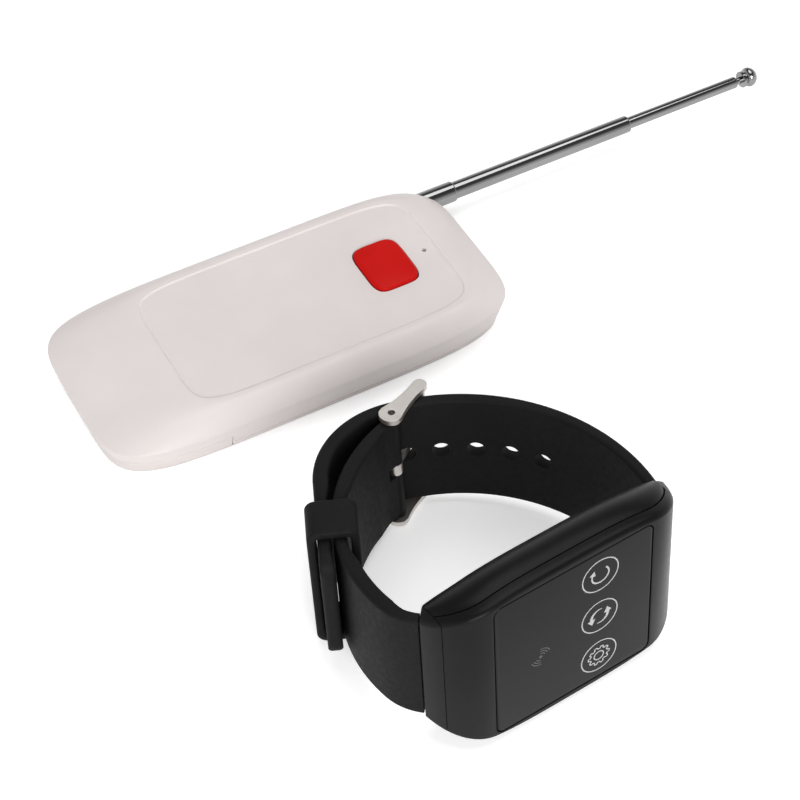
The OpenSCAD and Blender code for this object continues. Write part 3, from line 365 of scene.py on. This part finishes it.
# The buckle strap's long bend passes through its tip and touches the heel's bend; the tail bend is
# as large as lays the straight tail on it.
HEEL_C = np.array([-9.37, 0.14 - CASE_END]) - HEEL_R * ray(HEEL_END)
tip = LONG_C + (LONG_R - STRAP_T - PIN_DEPTH) * ray(PIN_ANGLE)
run = HEEL_C - tip
span = np.linalg.norm(run)
foot_along = (SHORT_R ** 2 - (SHORT_R - HEEL_R) ** 2 + span ** 2) / (2 * span)
SHORT_C = tip + (foot_along * run + np.sqrt(SHORT_R ** 2 - foot_along ** 2) * np.array([-run[1], run[0]])) / span
SHORT_END, HEEL_ANGLE = heading_of(tip - SHORT_C), heading_of(HEEL_C - SHORT_C)
way = ray(TAIL_END)
along = np.array([-way[1], way[0]])
TAIL_FACE = SHORT_R + STRAP_CLEAR + STRAP_T
turn = np.cos(np.radians(TAIL_END - LONG_END))
TAIL_R = ((SHORT_C - LONG_C) @ way + TAIL_FACE - LONG_R * turn) / (1 - turn)
TAIL_C = LONG_C + (LONG_R - TAIL_R) * ray(LONG_END)
PIN_AT = SHORT_C + (SHORT_R - STRAP_T / 2) * ray(SHORT_END)
BAR_AT = LONG_C + (LONG_R + BAR_R + BAR_LIFT) * ray(BAR_ANGLE)
LEAN = np.arctan((CASE_W / 2 - BUCKLE_HALF) / (BAR_END_R - BAR_AT[0] - STAND_X))
YAW = np.radians(-85)
WRIST = np.array([7.3, -111.3, STAND_X * np.sin(LEAN) + CASE_W / 2 * np.cos(LEAN) + 0.05])


def on_wrist(points):
    """Points of the receiver's frame turned by the lean about y and the yaw about z, and set in place."""
    p = np.asarray(points, float)
    x = p[..., 0] * np.cos(LEAN) - p[..., 2] * np.sin(LEAN)
    z = p[..., 0] * np.sin(LEAN) + p[..., 2] * np.cos(LEAN)
    y = p[..., 1]
    return np.stack([x * np.cos(YAW) - y * np.sin(YAW), x * np.sin(YAW) + y * np.cos(YAW), z], -1) + WRIST


def worn(shape):
    """A shape of the receiver's own frame, set in place."""
    return on_wrist(shape[0]), shape[1]


# Watch bezel, lower case and end links
# Satin black mouldings: the front curves away from the flat glass towards the strap, the lower
# case bellies out below a fine parting line, and a short link covers each strap end.
FLANK_POWER, FLANK_REACH = 3.4, 1.0955
BACK_DIP, BACK_FLAT, BACK_RUN, BACK_INSET = 1.6, 18.0, 11.0, 2.7
MOULD_END, CREST, SEAM, FRONT_ROUND = LINK_Y - 0.1, 0.28, 0.4, 1.6
QUARTERS = ((0, 1, 1), (np.pi / 2, -1, 1), (np.pi, -1, -1), (1.5 * np.pi, 1, -1))


def front_x(y):
    """Fall of the front beyond the flat: -fall (1 - sqrt(1 - t^2)), t from the flat's edge to the case's end."""
    t = np.clip((np.abs(y) - FLAT_HALF) / (CASE_END - FLAT_HALF + 0.4), 0, 1)
    return -FRONT_FALL * (1 - np.sqrt(1 - t * t))


def back_x(y):
    """Back of the case: flat, dipping by a parabola towards the strap."""
    return -CASE_T - BACK_DIP * (np.maximum(0, np.abs(y) - BACK_FLAT) / BACK_RUN) ** 2


def half_z(y, inset):
    """Half width at y: a superellipse that reaches past the case's end, drawn in by inset."""
    return (CASE_W / 2 - inset) * (1 - (np.abs(y) / (CASE_END * FLANK_REACH)) ** FLANK_POWER) ** (1 / FLANK_POWER)


def case_skin(y0, y1, profile, n=90):
    """Skin of the case from y0 to y1 through (inset, depth, u) rings: x = (front - depth)(1 - u) + back u.

    Both ends are closed by strips of quads, which follow the curved front and back."""
    y = np.linspace(y0, y1, n)
    loop = np.concatenate([y, y[::-1]])
    sign = np.repeat([1, -1], n)
    verts, faces = skin([np.column_stack([(front_x(loop) - depth) * (1 - u) + back_x(loop) * u, loop,
                                          sign * half_z(loop, inset)]) for inset, depth, u in profile])
    i = np.arange(n - 1)
    caps = [np.stack([row[i], row[i + 1], row[2 * n - 2 - i], row[2 * n - 1 - i]], -1).tolist()
            for row in np.array(faces[-2:])]
    return verts, faces[:-2] + caps[0] + caps[1]


def rounded(half_a, half_b, r, inset=0.0, n=12):
    """Rounded rectangle of half sizes a and b: four quarter circles of radius r, all drawn in by inset."""
    t = np.linspace(0, np.pi / 2, n)
    return np.concatenate([np.column_stack([sa * (half_a - r) + (r - inset) * np.cos(t + q),
                                            sb * (half_b - r) + (r - inset) * np.sin(t + q)])
                           for q, sa, sb in QUARTERS])


def slab(l, w, r, x0, x1, ease=0.0):
    """A plate l along y, w along z, corner radius r, from x0 to x1, its outer edge eased by a quarter round."""
    turns = np.linspace(0, np.pi / 2, 6) if ease else [0.0]
    edge = [(x0, 0.0)] + [(x1 - ease * (1 - np.sin(d)), ease * (1 - np.cos(d))) for d in turns]
    loops = [(x, rounded(l / 2, w / 2, r, inset)) for x, inset in edge]
    return skin([np.column_stack([np.full(len(yz), x), yz]) for x, yz in loops])


def prism(outline, z0, z1):
    """A flat outline of the receiver's own plane, raised from z0 to z1."""
    return skin([np.column_stack([outline, np.full(len(outline), z)]) for z in (z0, z1)])


satin_black = finish_of("satin black moulding", (0.0060, 0.0055, 0.0056), (0.0080, 0.0073, 0.0075), (0.28, 0.36),
                        grain=3200, bump=0.08, specular=0.1)
quarter = np.linspace(0, np.pi / 2, 8)
round_front = [(1 - np.sin(a), FRONT_ROUND * (1 - np.cos(a)), 0) for a in quarter]
bezel_profile = round_front + [(0, BEZEL_T - 0.5, 0), (0.1, BEZEL_T - 0.4, 0)]
bezel = new_object("bezel_frame", *worn(case_skin(-MOULD_END, MOULD_END, bezel_profile)))
carve(bezel, *worn(slab(GLASS_L + 0.2, GLASS_W + 0.2, 2, -1.2, 5)))
seat(bezel, satin_black, "wrist_receiver", ["watch_bezel"], sharp=28)

belly = [(0.35 * (1 - u / CREST) ** 2.5, BEZEL_T, u) for u in np.linspace(0, CREST, 8)]
belly += [(BACK_INSET * ((u - CREST) / (1 - CREST)) ** 2, BEZEL_T, u) for u in np.linspace(CREST + 0.06, 1, 14)]
lower_case = new_object("lower_case", *worn(case_skin(-MOULD_END, MOULD_END, belly)))


def strap_room():
    """What the strap ends leave clear: the wedges beyond the slanted seams, about each bend's centre."""
    wedges = []
    for c, angle, side in ((LONG_C, STRAP_FROM - np.degrees(SEAM / LONG_R), 1),
                           (HEEL_C, HEEL_END + np.degrees(SEAM / HEEL_R), -1)):
        u = 80 * ray(angle)
        v = side * np.array([-u[1], u[0]])
        wedges.append(prism(np.array([c, c + u, c + u + v, c + v]), -40, 40))
    return merged(*wedges)


carve(lower_case, *worn(strap_room()))
carve(lower_case, *worn(slab(37.2, 32.8, 3, -20, -CASE_T + 1.3)))
seat(lower_case, satin_black, "wrist_receiver", ["watch_case"], sharp=28)
link_profile = round_front + [(inset, FRONT_ROUND, u)
                              for inset, u in ((0.1, 0.3), (0.5, 0.6), (1.2, 0.85), (BACK_INSET, 1))]
end_links = new_object("end_links", *worn(merged(case_skin(LINK_Y, CASE_END, link_profile, 40),
                                                 case_skin(-CASE_END, -LINK_Y, link_profile, 40))))
carve(end_links, *worn(strap_room()))
seat(end_links, satin_black, "wrist_receiver", ["watch_end_links"], sharp=28)

# Cover glass and touch symbols
# A smoked, hard-coated cover over the display, with three ringed symbols printed in pale grey, a
# turning arrow, two exchange arrows and a gear, and a faint radio-wave symbol beside them.
INK_LOW, INK_HIGH, LINE = -0.05, 0.03, 0.26
SYMBOL_Y, SYMBOL_PITCH, RADIO_AT = 6, 12, (-8, -2.2)
smoked = finish_of("smoked cover", (0.0035, 0.0030, 0.0032), (0.0045, 0.0040, 0.0042), (0.14, 0.20), grain=900,
                   bump=0.004, blotch=30, specular=0.13)
glass = new_object("cover_glass", *worn(slab(GLASS_L - 0.3, GLASS_W - 0.3, 1.8, -1.2, 0.0, ease=0.25)))
seat(glass, smoked, "wrist_receiver", ["watch_glass"], sharp=40)


def stroke(points, width, closed=False):
    """A printed line: the path offset by half its width to both sides, as a thin closed ribbon on the glass."""
    p = np.asarray(points, float)
    d = (np.roll(p, -1, 0) - np.roll(p, 1, 0)) if closed else np.gradient(p, axis=0)
    d /= np.linalg.norm(d, axis=1)[:, None]
    off = np.column_stack([-d[:, 1], d[:, 0]]) * np.reshape(width, (-1, 1)) / 2
    corners = np.stack([np.column_stack([np.full(len(p), x), p + side * off])
                        for x, side in ((INK_LOW, 1), (INK_HIGH, 1), (INK_HIGH, -1), (INK_LOW, -1))], 1)
    return skin([*corners, corners[0]] if closed else corners)


def arc(cy, cz, r, a0, a1, n=40):
    """Points on a circle in the plane of the glass, from angle a0 to a1 in degrees."""
    t = np.radians(np.linspace(a0, a1, n))
    return np.column_stack([cy + r * np.cos(t), cz + r * np.sin(t)])


def patch(points):
    """A printed filled shape: a flat polygon as a thin closed plate on the glass."""
    return skin([np.column_stack([np.full(len(points), x), points]) for x in (INK_LOW, INK_HIGH)])


def arrow(cy, cz, r, a0, a1, width=0.36, head=1.3):
    """An arrow along a circle from angle a0 to a1: a stroke and a pointed head that goes on along the tangent."""
    end = np.radians(a1)
    out = np.array([np.cos(end), np.sin(end)])
    on = np.array([-out[1], out[0]]) * np.sign(a1 - a0)
    centre = np.array([cy, cz]) + r * out
    barbs = [centre - 0.6 * head * out, centre + 0.6 * head * out, centre + head * on]
    return [stroke(arc(cy, cz, r, a0, a1), width), patch(barbs)]


marks = [stroke(arc(SYMBOL_Y, z, 4.2, 0, 360 * 95 / 96, 96), LINE, closed=True)
         for z in (SYMBOL_PITCH, 0, -SYMBOL_PITCH)]
marks += arrow(SYMBOL_Y, SYMBOL_PITCH, 2.0, 50, -200)
brush = np.linspace(0.14, 0.72, 40)
marks += arrow(SYMBOL_Y, 0, 1.95, 72, 186, brush, 1.5) + arrow(SYMBOL_Y, 0, 1.95, -108, 6, brush, 1.5)
gear_t = np.radians(np.linspace(0, 360, 200, endpoint=False))
cog = 2.3 + 0.26 * np.tanh(3 * np.cos(10 * gear_t))
marks.append(stroke(np.column_stack([SYMBOL_Y + cog * np.cos(gear_t), cog * np.sin(gear_t) - SYMBOL_PITCH]),
                    LINE, closed=True))
marks.append(stroke(arc(SYMBOL_Y, -SYMBOL_PITCH, 1.15, 0, 350, 36), LINE, closed=True))
printed_grey = finish_of("printed grey", (0.40, 0.40, 0.40), (0.46, 0.46, 0.46), (0.5, 0.6), grain=2500, bump=0.02)
symbols = new_object("touch_symbols", *worn(merged(*marks)))
seat(symbols, printed_grey, "wrist_receiver")
waves = [patch(arc(*RADIO_AT, 0.4, 0, 345, 24))]
waves += [stroke(arc(*RADIO_AT, r, a - 38, a + 38, 16), 0.22) for r in (1.0, 1.6, 2.2) for a in (55, 235)]
printed_dim = finish_of("printed dim grey", (0.042, 0.038, 0.036), (0.056, 0.05, 0.048), (0.4, 0.5), grain=2500,
                        bump=0.02)
seat(new_object("radio_symbol", *worn(merged(*waves))), printed_dim, "wrist_receiver")

# Straps
# Two halves of moulded silicone rubber with rolled edges. The holed half comes over the top and
# down outside the buckle half, whose outer face carries a fine pressed texture.
CORNER_POINTS, STRAP_SWELL, SWELL_RISE, KEEPER_RUN = 10, 0.6, 4.0, 6.8
TAIL_L, CORNER, TIP_R, TIP_T = 22.5, 4.0, 0.9, 0.8
HOLE_R, HOLE_PITCH, TONGUE_T, SLOT_HALF = 1.95, 10.2, 0.78, 1.6
STRAP_PIN, BARREL_R, BARREL_HALF = np.array([-8.6, CASE_END - 4.6]), 1.35, 9.8
EYE_R, EYE_FROM, EYE_TO = 1.5, SLOT_HALF + 0.1, STRAP_W / 2 - 0.1


def strap_band(stations, r=0.9):
    """Sweep of a rounded band over stations of (outer face point, outward normal, thickness, half width)."""
    p, normal, thick, half = (np.array(column, float) for column in zip(*stations))
    thick, half = thick[:, None], half[:, None]
    e = np.minimum(np.minimum(r, thick / 2 - 0.01), half)
    a = np.linspace(0, np.pi / 2, CORNER_POINTS)
    deep = np.concatenate([sx * (thick / 2 - e) + e * np.cos(a + q) for q, sx, sz in QUARTERS], 1) - thick / 2
    wide = np.concatenate([sz * (half - e) + e * np.sin(a + q) for q, sx, sz in QUARTERS], 1)
    return skin(np.concatenate([p[:, None] + deep[..., None] * normal[:, None], wide[..., None]], -1))


def bend(c, r, a0, a1, step=0.8):
    """Stations of a circular bend about c, outer radius r."""
    return [(c + r * ray(a), ray(a), STRAP_T, STRAP_W / 2)
            for a in np.linspace(a0, a1, int(abs(a1 - a0) / step) + 2)]


def walked(p):
    """Length of the path from its first point to each point."""
    return np.concatenate([[0], np.cumsum(np.linalg.norm(np.diff(p, axis=0), axis=1))])


def fuller(stations, both_ends):
    """The inner face drawn in by the swell, rising over 4 mm, but not in the keeper's run nor at a held end."""
    p, normal, thick, half = (np.array(column, float) for column in zip(*stations))
    length = walked(p)
    free = (np.minimum(length, length[-1] - length) if both_ends else length) - SWELL_RISE
    off = p - SHORT_C
    keeper_free = np.where(off @ way > 0, np.abs(off @ along), 99) - KEEPER_RUN
    rise = np.clip(np.minimum(free, keeper_free) / SWELL_RISE, 0, 1)
    swell = STRAP_SWELL * rise * np.clip((thick - TIP_T) / (STRAP_T - TIP_T), 0, 1)
    return list(zip(p, normal, thick + swell, half))


def strap_rubber(name):
    """Silicone rubber: dull black with dust-grey blotches and a fine grain."""
    return finish_of(name, (0.0072, 0.0068, 0.0072), (0.0098, 0.0093, 0.0098), (0.52, 0.66), grain=2600,
                     bump=0.12, specular=0.09)


def press_weave(mat, pitch=1.0):
    """Add a pressed diamond weave, sin(k(u + v)) sin(k(u - v)) on the attribute's u, v in mm, under its mask."""
    nodes, links = mat.node_tree.nodes, mat.node_tree.links
    place, mask = nodes.new("ShaderNodeAttribute"), nodes.new("ShaderNodeSeparateXYZ")
    place.attribute_name = "pressed"
    links.new(place.outputs["Vector"], mask.inputs[0])
    height = mask.outputs["Z"]
    for slant in (1, -1):
        across = nodes.new("ShaderNodeVectorMath")
        wave, product = nodes.new("ShaderNodeMath"), nodes.new("ShaderNodeMath")
        across.operation, wave.operation, product.operation = "DOT_PRODUCT", "SINE", "MULTIPLY"
        across.inputs[1].default_value = (np.pi / pitch, slant * np.pi / pitch, 0)
        links.new(place.outputs["Vector"], across.inputs[0])
        links.new(across.outputs["Value"], wave.inputs[0])
        links.new(wave.outputs[0], product.inputs[0])
        links.new(height, product.inputs[1])
        height = product.outputs[0]
    add, relief = nodes.new("ShaderNodeMath"), nodes["Bump"]
    links.new(relief.inputs["Height"].links[0].from_socket, add.inputs[0])
    links.new(height, add.inputs[1])
    links.new(add.outputs[0], relief.inputs["Height"])
    relief.inputs["Strength"].default_value = 0.35
    return mat


def strap_end(pin, joint):
    """The narrow end of a strap inside its link: a barrel round the pin and the web that leads to it."""
    d = (joint - pin) / np.linalg.norm(joint - pin)
    side = 0.9 * np.array([-d[1], d[0]])
    web = prism(np.array([pin - side, joint - side, joint + side, pin + side]), -BARREL_HALF, BARREL_HALF)
    return merged(web, rod((*pin, -BARREL_HALF), (0, 0, 1), 2 * BARREL_HALF, BARREL_R))


rubber_plain, rubber_pressed = strap_rubber("strap rubber"), press_weave(strap_rubber("strap rubber pressed"))
tail_from = TAIL_C + TAIL_R * way
square = TAIL_L - CORNER
tail_s = np.concatenate([np.linspace(0.5, square, 16),
                         square + CORNER * np.sin(np.linspace(0.05, 1.0, 18) * np.pi / 2)])
narrow = CORNER - np.sqrt(np.maximum(0, CORNER ** 2 - np.maximum(0, tail_s - square) ** 2))
over_tip = np.maximum(0, tail_s - (TAIL_L - TIP_R)) / TIP_R
thin = (STRAP_T - TIP_T) * (1 - np.sqrt(np.maximum(0, 1 - over_tip ** 2)))
tail = [(tail_from + along * s - way * t / 2, way, STRAP_T - t, STRAP_W / 2 - w)
        for s, t, w in zip(tail_s, thin, narrow)]
long_path = bend(LONG_C, LONG_R, STRAP_FROM, LONG_END)
long_path += fuller(bend(TAIL_C, TAIL_R, LONG_END + 1, TAIL_END) + tail, both_ends=False)
long_strap = new_object("holed_strap_band", *worn(strap_band(long_path)))
# The tongue clears the bar, and the holes are stepped from where it passes through the strap's middle.
reach = np.linalg.norm(BAR_AT - PIN_AT)
TONGUE = ray(heading_of(BAR_AT - PIN_AT) + np.degrees(np.arcsin((BAR_R + TONGUE_T / 2 + 0.08) / reach)) + 0.6)
pin_off = PIN_AT - LONG_C
past = np.sqrt((pin_off @ TONGUE) ** 2 - pin_off @ pin_off + (LONG_R - STRAP_T / 2) ** 2) - pin_off @ TONGUE
drills = [ray(heading_of(pin_off + past * TONGUE) + HOLE_PITCH * i) for i in range(-4, 1)]
carve(long_strap, *worn(merged(*[rod((*(LONG_C + (LONG_R - STRAP_T - 1) * d), 0), (*d, 0), STRAP_T + 2, HOLE_R)
                                 for d in drills])))
seat(long_strap, rubber_plain, "wrist_receiver", ["holed_strap"], sharp=45)

short_path = bend(SHORT_C, SHORT_R, SHORT_END, HEEL_ANGLE) + bend(HEEL_C, HEEL_R, HEEL_ANGLE + 1, HEEL_END)
short_band = strap_band(fuller(short_path, both_ends=True))
short_strap = new_object("buckle_strap_band", *worn(short_band))
outer_mask = np.zeros(4 * CORNER_POINTS)
outer_mask[[0, -1]] = 1
short_length = walked(np.array([station[0] for station in short_path]))
pressed = np.column_stack([np.repeat(short_length, len(outer_mask)), short_band[0][:, 2],
                           np.tile(outer_mask, len(short_path))])
short_strap.data.attributes.new("pressed", "FLOAT_VECTOR", "POINT").data.foreach_set("vector", pressed.ravel())
inwards = ray(SHORT_END - 180)
sideways = np.array([-inwards[1], inwards[0]])
tongue_slot = PIN_AT + np.array([[-4, -3], [4, -3], [4, 5], [-4, 5]]) @ np.array([inwards, sideways])
carve(short_strap, *worn(prism(tongue_slot, -SLOT_HALF, SLOT_HALF)))
seat(short_strap, rubber_pressed, "wrist_receiver", ["buckle_strap"], sharp=45)
ends = new_object("strap_end_webs", *worn(merged(
    strap_end(STRAP_PIN, LONG_C + (LONG_R - STRAP_T / 2) * ray(80)),
    strap_end(STRAP_PIN * [1, -1], HEEL_C + (HEEL_R - STRAP_T / 2) * ray(309)),
    *[rod((*PIN_AT, z), (0, 0, 1), EYE_TO - EYE_FROM, EYE_R) for z in (-EYE_TO, EYE_FROM)])))
seat(ends, rubber_plain, "wrist_receiver")

# Keeper
# A loose band of the same rubber round both layers of the strap, with rounded corners and edges.
KEEPER_L, KEEPER_T, KEEPER_PLAY, KEEPER_GAP, KEEPER_EDGE = 9.0, 1.8, 2.0, 0.25, 0.55
strap_face = np.sqrt((SHORT_R - STRAP_T) ** 2 - (KEEPER_L / 2 + KEEPER_PLAY) ** 2)
keeper_at = SHORT_C + (TAIL_FACE + strap_face) / 2 * way
keeper_deep, keeper_wide = TAIL_FACE - strap_face + 2 * KEEPER_GAP, STRAP_W + 2 * KEEPER_GAP
keeper_loops = []
for grow, s in rounded(KEEPER_T / 2, KEEPER_L / 2, KEEPER_EDGE, n=6) + [KEEPER_T / 2, 0]:
    flat = rounded(keeper_deep / 2 + grow, keeper_wide / 2 + grow, 0.6 + grow * 0.9, n=14)
    keeper_loops.append(np.column_stack([keeper_at + flat[:, :1] * way + s * along, flat[:, 1]]))
keeper = new_object("keeper_band", *worn(skin([*keeper_loops, keeper_loops[0]])))
seat(keeper, rubber_plain, "keeper", ["strap_keeper"], sharp=45)

# Buckle
# Satin steel: two waisted side plates pinned to the strap end and joined by the bar that the
# tongue lies on after passing through a hole of the other half.
WAIST, SHARE, PIN_HOLE_R = 1.2, 0.94, 0.75
buckle_steel = finish_of("satin buckle steel", (0.60, 0.565, 0.535), (0.68, 0.645, 0.61), (0.34, 0.46), grain=2200,
                         bump=0.05, metallic=1.0)
heading = (BAR_AT - PIN_AT) / reach
f = np.linspace(0, 1, 40)
waist = WAIST + (SHARE * PIN_END_R - WAIST) * (1 - f) ** 2.4 + (SHARE * BAR_END_R - WAIST) * f ** 2.4
bend_in = np.arcsin(SHARE)
tip_arc, root_arc = np.linspace(bend_in, -bend_in, 20)[1:-1], np.linspace(-bend_in, bend_in, 24)[1:-1]
flat_plate = np.concatenate([
    np.column_stack([f * reach, waist]),
    np.column_stack([reach + BAR_END_R * np.cos(tip_arc), BAR_END_R * np.sin(tip_arc)]),
    np.column_stack([f[::-1] * reach, -waist[::-1]]),
    np.column_stack([-PIN_END_R * np.cos(root_arc), PIN_END_R * np.sin(root_arc)])])
plate = PIN_AT + flat_plate @ np.array([heading, [-heading[1], heading[0]]])
buckle = new_object("buckle_frame_steel", *worn(merged(*[prism(plate, z, z + PLATE_TH)
                                                         for z in (BUCKLE_HALF - PLATE_TH, -BUCKLE_HALF)])))
carve(buckle, *worn(rod((*PIN_AT, -20), (0, 0, 1), 40, PIN_HOLE_R)))
bar_half = BUCKLE_HALF - PLATE_TH / 2
carve(buckle, *worn(rod((*BAR_AT, -bar_half), (0, 0, 1), 2 * bar_half, BAR_R)), operation="UNION")
seat(buckle, buckle_steel, "buckle", ["buckle_frame"], sharp=40, bevel=0.3)
pin_steel = finish_of("dark pin steel", (0.05, 0.048, 0.046), (0.07, 0.067, 0.064), (0.35, 0.5), grain=1800,
                      bump=0.05, metallic=1.0)


def dress(node, finish):
    """Give a piece that comes from the CAD model its finish."""
    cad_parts[node].data.materials.clear()
    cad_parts[node].data.materials.append(finish)


dress("buckle_tongue", buckle_steel)
dress("buckle_pin", pin_steel)

# Pieces inside and behind
# Boards, switch, cell, contacts, screws, motor and back, each with its own finish; they show when
# the battery cover is off or from below.
inner = {
    "solder mask": (("circuit_board", "watch_board"), (0.014, 0.085, 0.04), (0.022, 0.12, 0.055), (0.3, 0.42), 0.0),
    "dark component": (("encoder_chip", "display_panel", "switch_plunger", "watch_back"), (0.012, 0.012, 0.012),
                       (0.018, 0.018, 0.018), (0.45, 0.6), 0.0),
    "ceramic tan": (("board_capacitors",), (0.30, 0.21, 0.13), (0.36, 0.26, 0.16), (0.5, 0.6), 0.0),
    "zinc plate": (("board_screws", "antenna_bracket", "antenna_screw", "case_screws", "vibration_motor",
                    "back_screws", "strap_pins"), (0.48, 0.48, 0.47), (0.58, 0.58, 0.57), (0.28, 0.42), 1.0),
    "nickel contact": (("tact_switch", "saw_resonator", "battery_plate", "battery_spring"), (0.55, 0.54, 0.5),
                       (0.65, 0.64, 0.6), (0.2, 0.32), 1.0),
    "battery wrap": (("battery",), (0.035, 0.035, 0.04), (0.055, 0.055, 0.062), (0.3, 0.4), 0.0),
    "cell foil": (("watch_cell",), (0.52, 0.52, 0.54), (0.62, 0.62, 0.64), (0.3, 0.45), 1.0),
    "gold contact": (("charge_contacts",), (0.62, 0.43, 0.15), (0.72, 0.52, 0.2), (0.2, 0.3), 1.0),
    "clear lens": (("status_led",), (0.75, 0.75, 0.70), (0.82, 0.82, 0.77), (0.1, 0.2), 0.0),
}
for name, (pieces, dark, light, rough, metal) in inner.items():
    finish = finish_of(name, dark, light, rough, grain=1800, bump=0.06, metallic=metal)
    for piece in pieces:
        dress(piece, finish)

# Floor, light and camera
# A white floor that keeps a soft shadow, lit by a panel above and one in front; away from the set
# the floor runs out into plain white. The camera stands where the photograph was taken from.
floor = new_object("floor", *block((-3000, -3000, -1), (3000, 3000, 0)))
white = bpy.data.materials.new("white floor")
white.use_nodes = True
nodes, links = white.node_tree.nodes, white.node_tree.links
shader = nodes["Principled BSDF"]
shader.inputs["Base Color"].default_value = (0.86, 0.86, 0.86, 1)
shader.inputs["Roughness"].default_value = 0.9
shader.inputs["Emission Color"].default_value = (1, 1, 1, 1)
light_path = nodes.new("ShaderNodeLightPath")
seen = light_path.outputs["Is Camera Ray"]
for other in ("Is Glossy Ray", "Is Transmission Ray"):
    either = nodes.new("ShaderNodeMath")
    either.operation = "MAXIMUM"
    links.new(seen, either.inputs[0])
    links.new(light_path.outputs[other], either.inputs[1])
    seen = either.outputs[0]
spot, away = nodes.new("ShaderNodeTexCoord"), nodes.new("ShaderNodeVectorMath")
rise, glow = nodes.new("ShaderNodeMapRange"), nodes.new("ShaderNodeMath")
away.operation, glow.operation = "LENGTH", "MULTIPLY"
for socket, value in (("From Min", 0.25), ("From Max", 0.9), ("To Min", 0.42), ("To Max", 1.0)):
    rise.inputs[socket].default_value = value
links.new(spot.outputs["Object"], away.inputs[0])
links.new(away.outputs["Value"], rise.inputs[0])
links.new(seen, glow.inputs[0])
links.new(rise.outputs[0], glow.inputs[1])
links.new(glow.outputs[0], shader.inputs["Emission Strength"])
floor.data.materials.append(white)

world = bpy.data.worlds.new("studio")
bpy.context.scene.world = world
world.use_nodes = True
nodes, links = world.node_tree.nodes, world.node_tree.links
background = nodes["Background"]
sky = nodes.new("ShaderNodeTexCoord")
upward = nodes.new("ShaderNodeSeparateXYZ")
level = nodes.new("ShaderNodeMapRange")
level.interpolation_type = "SMOOTHSTEP"
for socket, value in (("From Min", 0.15), ("From Max", 0.7), ("To Min", 1.0), ("To Max", 0.12)):
    level.inputs[socket].default_value = value
links.new(sky.outputs["Generated"], upward.inputs[0])
links.new(upward.outputs["Z"], level.inputs[0])
links.new(level.outputs[0], background.inputs["Strength"])
background.inputs["Color"].default_value = (1, 1, 1, 1)


def panel(name, at, target, size, power):
    """A square soft light at a place, facing a target."""
    light = bpy.data.lights.new(name, "AREA")
    light.size, light.energy = size, power
    ob = bpy.data.objects.new(name, light)
    ob.location = at
    ob.rotation_euler = (Vector(target) - Vector(at)).to_track_quat("-Z", "Y").to_euler()
    bpy.context.scene.collection.objects.link(ob)


panel("top panel", (0.2, 0.12, 0.95), (0.02, -0.03, 0), 0.8, 5.7)
panel("front panel", (-0.35, -1.0, 0.6), (0.0, -0.05, 0), 0.7, 10.5)

ELEVATION, AZIMUTH = np.radians(49.0), np.radians(-28.9)
AIM, DISTANCE = np.array([15.1, -28.35, 0.0]), 493.0
back = np.array([np.sin(AZIMUTH) * np.cos(ELEVATION), -np.cos(AZIMUTH) * np.cos(ELEVATION), np.sin(ELEVATION)])
lens = bpy.data.cameras.new("camera")
lens.lens, lens.sensor_width, lens.clip_start, lens.clip_end = 100.8, 36.0, 0.01, 20.0
camera = bpy.data.objects.new("camera", lens)
camera.location = Vector((AIM + back * DISTANCE) * MM)
camera.rotation_euler = Vector(-back).to_track_quat("-Z", "Y").to_euler()
bpy.context.scene.collection.objects.link(camera)
bpy.context.scene.camera = camera
bpy.context.scene.view_settings.view_transform = "Standard"
